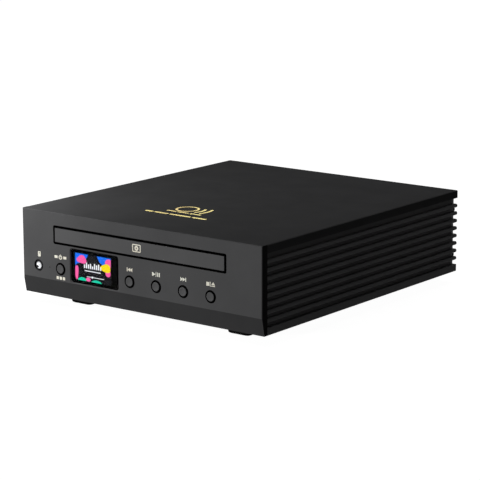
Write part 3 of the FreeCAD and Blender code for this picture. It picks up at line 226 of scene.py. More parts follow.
def extrusion_painted_shade(name, groove_shade):
    """Anodised side panel in a lighter copy of the anodised colour, which is painted light, and darker by a
    factor in the grooves between its fins, which is painted shade.
    """
    material = surface(name, (0.11, 0.11, 0.112), 0.42, specular=0.01, grain=2400, relief=0.2, vary=0.05)
    tree = material.node_tree
    across = parts_of(tree, "Object")[0]
    depths = [side_x - depth for depth in GROOVE_DEPTH]
    return toned(material, ranged(tree, across, depths, (1.0, groove_shade)))


def brick_pattern(tree, place, scale, mortar_size, brick, other_brick, mortar):
    """Brick texture in three colours."""
    values = {"Scale": scale, "Mortar Size": mortar_size}
    values.update({"Color1": (*brick, 1.0), "Color2": (*other_brick, 1.0), "Mortar": (*mortar, 1.0)})
    node = filled(tree.nodes.new("ShaderNodeTexBrick"), values)
    tree.links.new(place, node.inputs["Vector"])
    return node


def glowing(name, colour, strength):
    """Lit part of the display, with the fine grid of its pixels."""
    material, tree, shader, place = new_material(name)
    values = {"Base Color": (0.004, 0.004, 0.005, 1.0), "Roughness": 0.4, "Specular IOR Level": 0.03}
    filled(shader, {**values, "Emission Strength": strength})
    dimmer, gap = tuple(c * 0.92 for c in colour), tuple(c * 0.6 for c in colour)
    grid = brick_pattern(tree, place, 4000.0, 0.008, colour, dimmer, gap)
    tree.links.new(grid.outputs["Color"], shader.inputs["Emission Color"])
    return material


def clear_glass(name, colour, rough):
    """Tinted cover glass with faint smears."""
    material, tree, shader, place = new_material(name)
    filled(shader, {"Base Color": (*colour, 1.0), "Transmission Weight": 1.0, "IOR": 1.12})
    smear = ranged(tree, noise(tree, place, 60.0), NOISE_RANGE, (rough, rough * 1.6))
    tree.links.new(smear, shader.inputs["Roughness"])
    return material


def circuit_board(name):
    """Green solder mask with lighter copper tracks under it."""
    material, tree, shader, place = new_material(name)
    filled(shader, {"Roughness": 0.35})
    mask, darker_mask, copper = (0.008, 0.075, 0.03), (0.01, 0.09, 0.04), (0.03, 0.19, 0.08)
    tracks = brick_pattern(tree, place, 300.0, 0.06, mask, darker_mask, copper)
    tree.links.new(tracks.outputs["Color"], shader.inputs["Base Color"])
    bump(tree, shader, tracks.outputs["Fac"], 0.2, 0.05 * MM)
    return material


materials = {
    "black_anodised": surface("black_anodised", ANODISED, 0.37, specular=0.04, grain=3000, vary=0.04),
    # The front panel and the top cover take copies of the anodised finish with painted shade on their bevels
    # and side edges.
    "plate_painted_shade": plate_painted_shade("plate_painted_shade", 0.57, 0.2),
    "cover": plate_painted_shade("cover", 0.57, 0.45),
    # The side panels take a lighter copy of the anodised finish, painted light, with painted shade in their
    # grooves.
    "extrusion_painted_shade": extrusion_painted_shade("extrusion_painted_shade", 0.6),
    "shadow_black": surface("shadow_black", (0.004, 0.004, 0.004), 0.9, specular=0.0, grain=1500, relief=0.2),
    "eye_glass": surface("eye_glass", (0.006, 0.005, 0.007), 0.24, specular=0.12, grain=300, relief=0.01),
    "eye_mirror": surface("eye_mirror", (0.75, 0.76, 0.78), 0.12, 1.0, grain=300, relief=0.01),
    "black_steel": surface("black_steel", (0.03, 0.03, 0.032), 0.5, specular=0.2, grain=1800, relief=0.25),
    "steel": surface("steel", (0.5, 0.51, 0.53), 0.34, 1.0, grain=2000, stretch=BRUSHED_X),
    "black_screw": surface("black_screw", (0.035, 0.035, 0.037), 0.3, relief=0.05),
    "rubber": surface("rubber", (0.008, 0.008, 0.008), 0.75, specular=0.0, grain=1500, relief=0.3),
    "dark_glass": clear_glass("dark_glass", (0.97, 0.97, 0.98), 0.02),
    "display": surface("display", (0.006, 0.006, 0.008), 0.25, grain=1500, relief=0.02),
    "dark_window": surface("dark_window", (0.012, 0.004, 0.008), 0.08, specular=0.6, grain=400, relief=0.01),
    "light_pipe": surface("light_pipe", (0.012, 0.012, 0.013), 0.2, grain=1500, relief=0.03),
    "circuit_board": circuit_board("circuit_board"),
    "component": surface("component", (0.022, 0.022, 0.024), 0.5, relief=0.2),
    "tray_plastic": surface("tray_plastic", (0.02, 0.02, 0.021), 0.48, specular=0.3, grain=2200, relief=0.25),
    "frame_plastic": surface("frame_plastic", (0.035, 0.035, 0.037), 0.55, grain=1800, relief=0.25),
    "gear_plastic": surface("gear_plastic", (0.62, 0.6, 0.54), 0.4, grain=2000),
    "dark_gear_plastic": surface("dark_gear_plastic", (0.04, 0.04, 0.043), 0.42, grain=2000),
    "sled_metal": surface("sled_metal", (0.3, 0.3, 0.32), 0.5, 1.0, grain=1500, relief=0.35),
    "socket_metal": surface("socket_metal", (0.6, 0.6, 0.61), 0.22, 1.0, relief=0.05),
    "socket_plastic": surface("socket_plastic", (0.016, 0.016, 0.017), 0.45, grain=2000),
    "gold_contact": surface("gold_contact", (0.75, 0.52, 0.19), 0.24, 1.0, relief=0.04),
    "ribbon": surface("ribbon", (0.6, 0.6, 0.57), 0.4, grain=1200, stretch=(8.0, 0.3, 0.3)),
    "print": surface("print", (1.0, 0.94, 0.78), 0.55, specular=0.2, grain=3000, relief=0.03),
    "gold_print": surface("gold_print", (1.0, 0.76, 0.24), 0.4, 0.8, specular=0.1, grain=3000, relief=0.03),
}
# Parts whose finish is a copy of the anodised one with painted shade.
painted_shade_copies = {"front_panel": "plate_painted_shade", "top_cover": "cover"}
painted_shade_copies.update({"left_side_panel": "extrusion_painted_shade", "right_side_panel": "extrusion_painted_shade"})
for node, piece in frame["nodes"].items():
    piece.data.materials.clear()
    piece.data.materials.append(materials[painted_shade_copies.get(node, slot_of[node])])


# Meshes

TURN_STEPS = 64
CORNER_STEPS = 6
# Signs of both coordinates at the corners of a rectangle, and in the quarters of a circle.
CORNERS = ((-1, -1), (1, -1), (1, 1), (-1, 1))
QUARTERS = ((1, 1), (-1, 1), (-1, -1), (1, -1))


def meshed(bm, name):
    """New mesh from the shapes gathered so far."""
    mesh = bpy.data.meshes.new(name)
    bm.to_mesh(mesh)
    bm.free()
    return mesh


def in_scene(name, data):
    """New object in the scene."""
    thing = bpy.data.objects.new(name, data)
    bpy.context.scene.collection.objects.link(thing)
    return thing


def mesh_piece(name, mesh, body, finish, *skins):
    """Object for a mesh, riding on a body, with one material or more. Its finish is not used."""
    bm = bmesh.new()
    bm.from_mesh(mesh)
    bmesh.ops.recalc_face_normals(bm, faces=bm.faces)
    bm.to_mesh(mesh)
    bm.free()
    piece = in_scene(name, mesh)
    for skin in skins:
        mesh.materials.append(materials[skin])
    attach(piece, body)
    return piece


def printed(name, shapes, place, body="housing", ink="print"):
    """Thin printed shapes."""
    mesh_piece(name, plates(name, shapes, place), body, "socket_plastic", ink)


def on_front(depth=0.0):
    """Turns (x, height) in millimetres into a place on the front face, a depth behind it."""
    return lambda x, z, out: Vector((x * MM, front_y + depth - out, body_low + z * MM))


def on_rear(x, z, out):
    """Turns (x, height) in millimetres into a place on the rear face."""
    return Vector((x * MM, rear_y + out, body_low + z * MM))


def on_top(x, y, out):
    """Turns (x, y) in millimetres into a place on the top."""
    return Vector((x * MM, y * MM, top_z + out))


def joined(bm, rings, closed=False):
    """Faces between rings of points, each with the next. A ring may be a single point."""
    steps = max(len(points) for points in rings)
    faces = []
    for first, second in zip(rings, rings[1:] + (rings[:1] if closed else [])):
        for i in range(steps):
            j = (i + 1) % steps
            near = [first[i % len(first)], first[j % len(first)]]
            far = [second[j % len(second)], second[i % len(second)]]
            faces.append(bm.faces.new(list(dict.fromkeys(near + far))))
    return faces


def capped(bm, first, last):
    """Flat faces over the first and the last ring."""
    bm.faces.new(first)
    bm.faces.new(last[::-1])


def plates(name, shapes, place, thick=LIFT):
    """Thin plates as one mesh. A shape is a list of points, or two such lists for a ring."""
    bm = bmesh.new()
    for shape in shapes:
        outlines = shape if isinstance(shape[0], list) else [shape]
        low = [[bm.verts.new(place(x, z, 0.0)) for x, z in outline] for outline in outlines]
        high = [[bm.verts.new(place(x, z, thick)) for x, z in outline] for outline in outlines]
        for below, above in zip(low, high):
            joined(bm, [below, above])
        if len(outlines) == 1:
            capped(bm, high[0], low[0])
        else:
            joined(bm, high)
            joined(bm, low)
    return meshed(bm, name)


def bar(x, z, width, height):
    """Upright rectangle."""
    return [(x + sx * width / 2, z + sz * height / 2) for sx, sz in CORNERS]


def triangle(x, z, width, height, towards):
    """Arrow head that points to the right or left."""
    back = x - towards * width / 2
    return [(back, z - height / 2), (back, z + height / 2), (x + towards * width / 2, z)]


def arc_points(x, z, radius, first=0.0, last=360.0, steps=40):
    """Points on a circle. A full circle leaves out its last point."""
    count = steps if last - first >= 360.0 else steps + 1
    angles = [math.radians(first + (last - first) * i / steps) for i in range(count)]
    return [(x + radius * math.cos(a), z + radius * math.sin(a)) for a in angles]


def dot(x, z, radius):
    """Small disc."""
    return arc_points(x, z, radius, steps=20)


def ring(x, z, inner, outer):
    """Flat ring."""
    return [arc_points(x, z, inner), arc_points(x, z, outer)]


def arc_band(x, z, inner, outer, first, last):
    """Part of a ring."""
    return arc_points(x, z, outer, first, last, 24) + arc_points(x, z, inner, first, last, 24)[::-1]


def rounded_bar(x, z, width, height, corner):
    """Rectangle with rounded corners."""
    points = []
    for quarter, (sx, sz) in enumerate(QUARTERS):
        middle_x, middle_z = x + sx * (width / 2 - corner), z + sz * (height / 2 - corner)
        first = 90.0 * quarter
        points += arc_points(middle_x, middle_z, corner, first, first + 90.0, CORNER_STEPS)
    return points


def frame_shape(x, z, width, height, corner, wall):
    """Ring between two rounded rectangles, a wall apart."""
    inner = rounded_bar(x, z, width - 2 * wall, height - 2 * wall, max(corner - wall, 0.05))
    return [inner, rounded_bar(x, z, width, height, corner)]


def turned(name, profile, centre, closed=False):
    """Body of revolution from (radius, y) pairs in metres, about an axis towards the back."""
    bm = bmesh.new()
    rings = []
    for radius, along in profile:
        angles = [2 * math.pi * i / TURN_STEPS for i in range(TURN_STEPS if radius else 1)]
        places = [Vector((radius * math.cos(a), along, radius * math.sin(a))) for a in angles]
        rings.append([bm.verts.new(centre + place) for place in places])
    for face in joined(bm, rings, closed):
        face.smooth = True
    return meshed(bm, name)


def box_into(mesh, boxes):
    """Adds boxes between pairs of corners to a mesh."""
    bm = bmesh.new()
    bm.from_mesh(mesh)
    for low, high in boxes:
        middle, size = (low + high) / 2, high - low
        for vertex in bmesh.ops.create_cube(bm, size=1.0)["verts"]:
            vertex.co = middle + Vector(c * s for c, s in zip(vertex.co, size))
    bm.to_mesh(mesh)
    bm.free()


def middle_of(node):
    """Middle of a node in x and z, and its two corners."""
    low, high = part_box(node)
    return Vector(((low.x + high.x) / 2, 0.0, (low.z + high.z) / 2)), low, high


# Printed marks

SIGN_HEIGHT = 26.2
SECOND_SIGN_HEIGHT = 12.9
REAR_SIGN_HEIGHT = 25.0
POWER_X, PREVIOUS_X, PLAY_X, NEXT_X, EJECT_X = -62.4, -6.2, 14.7, 35.8, 56.0
REMOTE_SIGN = (-80.2, 26.0)
DOOR_SIGN = (-0.2, 40.3)
COAXIAL_X, OPTICAL_X, DIGITAL_X, USB_A_X, USB_C_X, SUPPLY_X = 60.0, 32.0, 4.0, -22.0, -44.0, -66.0
ORNAMENT = (-7.5, -52.0)
ORNAMENT_WAVES = [(10.6, 30.0), (15.2, 25.0)]
WAVE_WIDTH = 1.6
# A row of dashes is its y, the height of a dash, and where each dash begins and ends in x.
SHORT_ROW = (-61.9, 1.5, [(-15.8, -8.5), (-7.3, 1.2), (2.4, 10.9)])
LONG_ROW = (-70.2, 1.9, [(-26.3, -20.4), (-19.0, -8.3), (-6.9, 9.4), (10.9, 21.5)])


def skip_sign(x, towards):
    """Two arrow heads and a bar, to the right or left."""
    heads = [triangle(x + towards * dx, SIGN_HEIGHT, 2.0, 2.5, towards) for dx in (-1.3, 0.4)]
    return heads + [bar(x + towards * 1.75, SIGN_HEIGHT, 0.6, 2.5)]


def play_sign():
    """Arrow head and two bars, with a line between them."""
    pause = [bar(PLAY_X + dx, SIGN_HEIGHT, 0.75, 2.5) for dx in (1.3, 2.6)]
    return [triangle(PLAY_X - 1.8, SIGN_HEIGHT, 2.5, 2.7, 1), bar(PLAY_X, SIGN_HEIGHT, 0.45, 3.0)] + pause


def eject_sign():
    """Square, and an arrow head that points up over a bar, with a line between them."""
    x, base = EJECT_X + 2.15, SIGN_HEIGHT - 0.3
    arrow = [(x - 1.45, base), (x + 1.45, base), (x, SIGN_HEIGHT + 1.5)]
    stop = [bar(EJECT_X - 1.8, SIGN_HEIGHT, 2.3, 2.3), bar(EJECT_X, SIGN_HEIGHT, 0.45, 3.0)]
    return stop + [arrow, bar(x, SIGN_HEIGHT - 0.95, 2.9, 0.6)]


def power_signs():
    """Power sign between two dashes over the first button, and three squares for its second use under it."""
    arc = arc_band(POWER_X, SIGN_HEIGHT, 0.85, 1.45, 120.0, 420.0)
    dashes = [bar(POWER_X + dx, SIGN_HEIGHT, 2.5, 1.7) for dx in (-3.65, 3.65)]
    squares = [bar(POWER_X + dx, SECOND_SIGN_HEIGHT, 1.9, 1.9) for dx in (-2.6, 0.0, 2.6)]
    return [arc, bar(POWER_X, SIGN_HEIGHT + 0.85, 0.55, 1.7)] + dashes + squares


def remote_sign():
    """Small remote control over the eye."""
    x, z = REMOTE_SIGN
    return [frame_shape(x, z, 2.2, 3.3, 0.5, 0.7), bar(x, z - 0.35, 0.9, 1.1)]


def rear_signs():
    """A sign over each socket: plain rings, frames and bars, with a minus and a plus at the power socket."""
    z = REAR_SIGN_HEIGHT
    coaxial = [ring(COAXIAL_X, z, 1.1, 1.5), dot(COAXIAL_X, z, 0.5)]
    optical = [frame_shape(OPTICAL_X, z, 3.0, 3.0, 0.5, 0.35), dot(OPTICAL_X, z, 0.6)]
    digital = [bar(DIGITAL_X, z + dz, 4.0, 0.4) for dz in (-0.9, 0.0, 0.9)]
    usb = [frame_shape(USB_A_X, z, 4.2, 2.2, 0.3, 0.35), bar(USB_A_X, z, 2.4, 0.4)]
    usb += [frame_shape(USB_C_X, z, 3.6, 1.6, 0.75, 0.35)]
    supply = [ring(SUPPLY_X, z, 0.9, 1.25), dot(SUPPLY_X, z, 0.45)]
    supply += [bar(SUPPLY_X + dx, z, 1.4, 0.35) for dx in (-3.0, 3.0)]
    supply += [bar(SUPPLY_X + 3.0, z + dz, 0.35, 0.5) for dz in (0.45, -0.45)]
    return coaxial + optical + digital + usb + supply


def top_ornament():
    """Plain gold ornament on the cover: a ring and two waves over two rows of dashes."""
    shapes = [ring(*ORNAMENT, 6.3, 7.7)]
    shapes += [arc_band(*ORNAMENT, r, r + WAVE_WIDTH, -half, half) for r, half in ORNAMENT_WAVES]
    for y, tall, dashes in (SHORT_ROW, LONG_ROW):
        shapes += [bar((first + last) / 2, y, last - first, tall) for first, last in dashes]
    return shapes


printed("mark_previous", skip_sign(PREVIOUS_X, -1), on_front())
printed("mark_play", play_sign(), on_front())
printed("mark_next", skip_sign(NEXT_X, 1), on_front())
printed("mark_eject", eject_sign(), on_front())
printed("mark_power", power_signs(), on_front())
printed("mark_remote", remote_sign(), on_front())
door_shapes = [frame_shape(*DOOR_SIGN, 6.6, 4.9, 0.7, 0.65), ring(*DOOR_SIGN, 0.45, 1.55)]
printed("door_mark", door_shapes, on_front(door_y), "tray")
printed("mark_rear", rear_signs(), on_rear)
printed("top_ornament", top_ornament(), on_top, ink="gold_print")


# Display

SCREEN_LEFT, SCREEN_RIGHT = -52.0, -22.9
SCREEN_LOW, SCREEN_HIGH = 13.4, 30.3
SCREEN_BLACK = (0.002, 0.002, 0.004)
SCREEN_BLUE = (0.0, 0.16, 0.95)
SCREEN_PINK = (1.0, 0.115, 0.4)
SCREEN_TEAL = (0.0, 0.75, 0.45)
SCREEN_YELLOW = (1.0, 0.78, 0.003)
SCREEN_WHITE = (0.9, 0.92, 0.95)
LEVELS = [2.2, 3.6, 2.6, 3.2, 1.8, 3.6, 2.9, 3.6, 2.2]
FIRST_LEVEL_X, LEVEL_PITCH, LEVEL_WIDTH, LEVELS_LOW = -44.3, 1.65, 0.95, 21.6
TOUCHING = 1e-4
BLOB_STEPS = 36


def blob(x, z, across, up, sway=0.0):
    """Soft rounded patch, cut off at the picture's edges."""
    points = []
    for i in range(BLOB_STEPS):
        angle = 2 * math.pi * i / BLOB_STEPS
        reach = 1.0 + sway * math.sin(3 * angle + x)
        px, pz = x + across * reach * math.cos(angle), z + up * reach * math.sin(angle)
        points.append((min(max(px, SCREEN_LEFT), SCREEN_RIGHT), min(max(pz, SCREEN_LOW), SCREEN_HIGH)))
    return without_repeats(points)


def without_repeats(points):
    """Outline without points that lie on each other."""
    kept = []
    for point in points:
        if not kept or math.dist(point, kept[-1]) > TOUCHING:
            kept.append(point)
    if math.dist(kept[0], kept[-1]) < TOUCHING:
        kept.pop()
    return kept


def screen_layers():
    """Coloured shapes of the picture, as (colour, strength, shapes, thickness) for each layer's name."""
    middle_x, middle_z = (SCREEN_LEFT + SCREEN_RIGHT) / 2, (SCREEN_LOW + SCREEN_HIGH) / 2
    whole = [bar(middle_x, middle_z, SCREEN_RIGHT - SCREEN_LEFT, SCREEN_HIGH - SCREEN_LOW)]
    left_corner = [(SCREEN_LEFT, SCREEN_HIGH), (SCREEN_LEFT, 22.2), (-50.6, 23.6)]
    left_corner += [(-47.5, 24.5), (-42.5, 28.0), (-41.3, SCREEN_HIGH)]
    right_corner = [(-34.2, SCREEN_HIGH), (-32.2, 26.8), (-29.5, 25.2)]
    right_corner += [(SCREEN_RIGHT, 24.6), (SCREEN_RIGHT, SCREEN_HIGH)]
    left_pinks = [blob(-46.6, 26.6, 3.9, 2.6, 0.12), blob(-50.9, 18.3, 1.6, 4.4, 0.1)]
    right_pinks = [blob(-24.6, 26.9, 2.9, 2.7), blob(-25.2, 20.6, 2.1, 2.2), blob(-41.4, 14.6, 1.9, 1.3)]
    hills = [blob(-46.3, 13.9, 3.4, 1.5, 0.05), blob(-34.6, 13.4, 4.2, 1.5, 0.05)]
    white = [
        bar(FIRST_LEVEL_X + LEVEL_PITCH * i, LEVELS_LOW + level / 2, LEVEL_WIDTH, level)
        for i, level in enumerate(LEVELS)
    ]
    white += [bar(-37.7, 20.0, 13.0, 0.55), bar(-35.5, 16.4, 14.0, 0.35), blob(-38.0, 16.4, 0.7, 0.7)]
    return {
        "screen_base": (SCREEN_BLACK, 0.5, whole, 0.05),
        "screen_blue": (SCREEN_BLUE, 1.0, [left_corner, right_corner], 0.07),
        "screen_pink": (SCREEN_PINK, 1.0, left_pinks, 0.09),
        "screen_rose": (SCREEN_PINK, 1.0, right_pinks, 0.09),
        "screen_teal": (SCREEN_TEAL, 0.9, hills, 0.11),
        "screen_yellow": (SCREEN_YELLOW, 1.0, [blob(-27.0, 23.6, 4.1, 2.6, 0.1)], 0.13),
        "screen_white": (SCREEN_WHITE, 1.0, white, 0.16),
    }


module_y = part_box("display_module")[0].y - front_y
for name, (colour, strength, shapes, thick) in screen_layers().items():
    materials[name] = glowing(name, colour, strength)
    mesh_piece(name, plates(name, shapes, on_front(module_y), thick * MM), "housing", "display", name)


# Buttons and remote eye. A profile is a list of (radius, depth behind the front face).

PANEL_THICK = 5.0
KEY_FACE = [(0.0, -0.33), (1.1, -0.34), (2.0, -0.4), (2.4, -0.45), (2.62, -0.45), (2.78, -0.34)]
KEY_SHOULDER = [(2.84, 0.3), (2.95, 0.85), (3.25, 1.1), (3.25, PANEL_THICK), (0.0, PANEL_THICK)]
KEY_FACE_RADIUS = 2.7
KEY_FLANGE_THICK = 1.0
KEY_STEM_HALF = 1.5
# Radii and depths of the black ring of painted shade in each key's hole.
HOLE_SHADE_INNER, HOLE_SHADE_OUTER = 3.82, 3.98
HOLE_SHADE_FIRST, HOLE_SHADE_LAST = 0.08, PANEL_THICK - 0.1
LENS_RADIUS, LENS_CURVE = 3.6, 6.5
BEAD_RADIUS, BEAD_CURVE, BEAD_PROUD, BEAD_DEPTH = 2.3, 3.9, 0.28, 1.8
PUPIL_RADIUS, PUPIL_PROUD, PUPIL_CROWN = 0.9, 0.03, 0.1
PUPIL_ASIDE = Vector((-0.45 * MM, 0.0, -0.5 * MM))


def from_front(profile):
    """Profile in metres, from one in millimetres behind the front face."""
    return [(radius * MM, front_y + depth * MM) for radius, depth in profile]


def behind_panel(centre, half, first, last):
    """Corners of a square block about an axis, between two places in y."""
    return centre + Vector((-half, first, -half)), centre + Vector((half, last, half))


def face_and_painted_shade(mesh, centre):
    """Leaves the first material to a key's face and gives the second, black painted shade, to the rest."""
    for face in mesh.polygons:
        away = math.hypot(face.center.x - centre.x, face.center.z - centre.z)
        face.material_index = 1 if away > KEY_FACE_RADIUS * MM or abs(face.normal.y) < 0.5 else 0


def button(name):
    """Round key with a dished face on a shoulder in black painted shade, its flange and stem, and a black
    ring of painted shade in its hole.
    """
    centre, low, high = middle_of(f"{name}_button")
    mesh = turned(name, from_front(KEY_FACE + KEY_SHOULDER), centre)
    flange = front_y + PANEL_THICK * MM
    stem = flange + KEY_FLANGE_THICK * MM
    box_into(mesh, [
        behind_panel(centre, (high.x - low.x) / 2, flange, stem),
        behind_panel(centre, KEY_STEM_HALF * MM, stem, high.y),
    ])
    skins = "black_anodised", "shadow_black"
    piece = mesh_piece(f"{name}_key", mesh, f"{name}_button", "black_anodised", *skins)
    face_and_painted_shade(mesh, centre)
    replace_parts(piece, f"{name}_button")
    # Thin black ring of painted shade on the wall of the key's hole.
    corners = [(HOLE_SHADE_INNER, HOLE_SHADE_FIRST), (HOLE_SHADE_OUTER, HOLE_SHADE_FIRST)]
    corners += [(HOLE_SHADE_OUTER, HOLE_SHADE_LAST), (HOLE_SHADE_INNER, HOLE_SHADE_LAST)]
    hole_shade = turned(f"{name}_sleeve", from_front(corners), centre, closed=True)
    mesh_piece(f"{name}_sleeve", hole_shade, "housing", "rubber", "shadow_black")


def dome(radius, curve, apex, steps):
    """Profile of a ball's cap with its apex at a place in y."""
    radii = [radius * i / steps for i in range(steps + 1)]
    return [(r * MM, apex + (curve - math.sqrt(curve**2 - r**2)) * MM) for r in radii]


def remote_eye():
    """Black glossy lens with its flange behind the panel, and a bright bead with a dark pupil in it."""
    centre, low, high = middle_of("ir_window")
    behind = front_y + PANEL_THICK * MM
    profile = dome(LENS_RADIUS, LENS_CURVE, low.y, 14) + [(LENS_RADIUS * MM, behind), (0.0, behind)]
    mesh = turned("eye_lens", profile, centre)
    box_into(mesh, [behind_panel(centre, (high.x - low.x) / 2, behind, high.y)])
    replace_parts(mesh_piece("eye_lens", mesh, "housing", "dark_window", "eye_glass"), "ir_window")
    apex = low.y - BEAD_PROUD * MM
    deep = apex + BEAD_DEPTH * MM
    profile = dome(BEAD_RADIUS, BEAD_CURVE, apex, 12) + [(BEAD_RADIUS * MM, deep), (0.0, deep)]
    mesh_piece("eye_bead", turned("eye_bead", profile, centre), "housing", "dark_window", "eye_mirror")
    shares = [i / 6 for i in range(7)]
    profile = [(PUPIL_RADIUS * s * MM, apex + (PUPIL_CROWN * s**2 - PUPIL_PROUD) * MM) for s in shares]
    profile += [(PUPIL_RADIUS * MM, deep), (0.0, deep)]
    mesh = turned("eye_pupil", profile, centre + PUPIL_ASIDE)
    mesh_piece("eye_pupil", mesh, "housing", "dark_window", "eye_glass")


for name in ("power", "previous", "play", "next", "eject"):
    button(name)
remote_eye()


# Tray slot and door, with black sheets of painted shade

SLOT_BESIDE, SLOT_ABOVE, SLOT_CORNER = 1.05, 1.3, 1.2
# Sizes of the black sheets of painted shade in the slot, round the door and on its rim.
SLOT_SHADE_GAP, SLOT_SHADE_WALL, SLOT_SHADE_SETBACK = 0.02, 0.1, 0.08
DOOR_CORNER = 0.8
GAP_SHADE_OUT, GAP_SHADE_WALL = 0.06, 0.05
RIM_SHADE_BESIDE, RIM_SHADE_ABOVE, RIM_SHADE_CORNER, RIM_SHADE_THICK = 0.6, 0.3, 0.4, 0.05
END_MARGIN = 0.1


def slot_painted_shade():
    """Black sheets of painted shade: a lining on the walls of the tray slot, edging round the door in its
    gap, and a strip on the rim of the door's face.
    """
    place = (door_low.x + door_high.x) / 2 / MM, ((door_low.z + door_high.z) / 2 - body_low) / MM
    width, height = (door_high.x - door_low.x) / MM, (door_high.z - door_low.z) / MM
    wide, tall = width + 2 * (SLOT_BESIDE - SLOT_SHADE_GAP), height + 2 * (SLOT_ABOVE - SLOT_SHADE_GAP)
    depth = (PANEL_THICK - END_MARGIN) * MM
    shapes = [frame_shape(*place, wide, tall, SLOT_CORNER, SLOT_SHADE_WALL)]
    mesh = plates("slot_shade_sheet", shapes, on_front(depth), depth - SLOT_SHADE_SETBACK * MM)
    mesh_piece("slot_shade_sheet", mesh, "housing", "rubber", "shadow_black")
    wide, tall, corner = width + 2 * GAP_SHADE_OUT, height + 2 * GAP_SHADE_OUT, DOOR_CORNER + GAP_SHADE_OUT
    back = door_high.y - front_y - END_MARGIN * MM
    shapes = [frame_shape(*place, wide, tall, corner, GAP_SHADE_WALL)]
    mesh = plates("door_gap_shade", shapes, on_front(back), back - door_y)
    mesh_piece("door_gap_shade", mesh, "tray", "rubber", "shadow_black")
    inner = rounded_bar(*place, wide - 2 * RIM_SHADE_BESIDE, tall - 2 * RIM_SHADE_ABOVE, RIM_SHADE_CORNER)
    shapes = [[inner, rounded_bar(*place, wide, tall, corner)]]
    mesh = plates("door_rim_shade", shapes, on_front(door_y), RIM_SHADE_THICK * MM)
    mesh_piece("door_rim_shade", mesh, "tray", "rubber", "shadow_black")


slot_painted_shade()


# Feet

FOOT_CORNER = 2.6
FOOT_CORNER_STEPS = 8
FOOT_LEVELS = [(1.1, 0.0), (0.7, 0.12), (0.3, 0.4), (0.0, 0.9)]
INSET_FROM_CORNER = 0.4


def rubber_foot(name):
    """Square pad with rounded corners and a soft bevel round its sole."""
    low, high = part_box(name)
    middle = (low + high) / 2
    corner = FOOT_CORNER * MM
    straight = (high.x - low.x) / 2 - corner
    bm = bmesh.new()
    rings = []
    for z, inset in [(high.z, 0.0)] + [(low.z + up * MM, inset * MM) for up, inset in FOOT_LEVELS]:
        points = []
        reach = corner - inset * INSET_FROM_CORNER
        side = straight - inset * (1 - INSET_FROM_CORNER)
        for quarter, (sx, sy) in enumerate(QUARTERS):
            for i in range(FOOT_CORNER_STEPS + 1):
                angle = math.radians(90 * (quarter + i / FOOT_CORNER_STEPS))
                x = middle.x + sx * side + reach * math.cos(angle)
                y = middle.y + sy * side + reach * math.sin(angle)
                points.append(bm.verts.new(Vector((x, y, z))))
        rings.append(points)
    for face in joined(bm, rings):
        face.smooth = True
    capped(bm, rings[0], rings[-1])
    piece = mesh_piece(f"{name}_pad", meshed(bm, name), "housing", "rubber", "rubber")
    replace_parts(piece, name)


for side in ("front_left", "front_right", "rear_left", "rear_right"):
    rubber_foot(f"foot_{side}")


# Screws. A profile is a list of (radius, depth under the head's top).

SCREW_STEPS = 48
SOCKET_PROFILE = [(1.3, 0.9), (1.3, 0.0)]
HEAD_PROFILE = [(1.75, 0.0), (2.25, 0.3), (2.55, 0.8), (2.7, 1.25), (2.7, 1.6), (1.45, 1.6)]
SHAFT_RADIUS = 1.45
REAR_SCREWS_FROM = 100.0 * MM


def islands(node):
    """Corners of the boxes round the separate solids of a node."""
    bm = bmesh.new()
    bm.from_mesh(frame["nodes"][node].data)
    bmesh.ops.remove_doubles(bm, verts=bm.verts, dist=1e-6)
    left, boxes = set(bm.verts), []
    while left:
        ahead = [left.pop()]
        found = list(ahead)
        while ahead:
            vertex = ahead.pop()
            near = [edge.other_vert(vertex) for edge in vertex.link_edges]
            fresh = [vertex for vertex in near if vertex in left]
            left.difference_update(fresh)
            ahead += fresh
            found += fresh
        low = Vector([min(vertex.co[i] for vertex in found) for i in range(3)])
        high = Vector([max(vertex.co[i] for vertex in found) for i in range(3)])
        boxes.append((low, high))
    bm.free()
    return sorted(boxes, key=lambda box: tuple(round(c, 5) for c in box[0]))


def socket_screw(bm, head, outward, length):
    """Button-headed screw with a hexagonal socket. The head's place is the middle of its top."""
    across = Vector((1, 0, 0))
    along = outward.cross(across)
    rings = []
    for radius, depth in SOCKET_PROFILE + HEAD_PROFILE + [(SHAFT_RADIUS, length)]:
        points = []
        for i in range(SCREW_STEPS):
            angle = 2 * math.pi * i / SCREW_STEPS
            reach = radius
            if radius == SOCKET_PROFILE[0][0]:
                reach /= math.cos((angle + math.pi / 6) % (math.pi / 3) - math.pi / 6)
            turn = math.cos(angle) * across + math.sin(angle) * along
            points.append(bm.verts.new(head + reach * MM * turn - depth * MM * outward))
        rings.append(points)
    joined(bm, rings)
    capped(bm, rings[0], rings[-1])


def panel_screws():
    """Screws of the rear panel and the base."""
    bm = bmesh.new()
    for low, high in islands("panel_screws"):
        middle = (low + high) / 2
        if high.y > REAR_SCREWS_FROM:
            head, outward, length = Vector((middle.x, high.y, middle.z)), Vector((0, 1, 0)), high.y - low.y
        else:
            head, outward, length = Vector((middle.x, middle.y, low.z)), Vector((0, 0, -1)), high.z - low.z
        socket_screw(bm, head, outward, length / MM)
    piece = mesh_piece("socket_screws", meshed(bm, "screws"), "housing", "black_screw", "black_screw")
    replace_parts(piece, "panel_screws")


panel_screws()


# Floor, sky, lamps and camera

FLOOR_HALF = 12.0
FLOOR_GAP = 0.02 * MM
FLOOR_GREYS = ((0.3, 0.3, 0.3), (0.31, 0.31, 0.31))
FLOOR_GLOW = (0.97, 0.97, 0.97, 1.0)
SKY_LIGHT = 0.035
MIDDLE = (0, 0, 0.03)
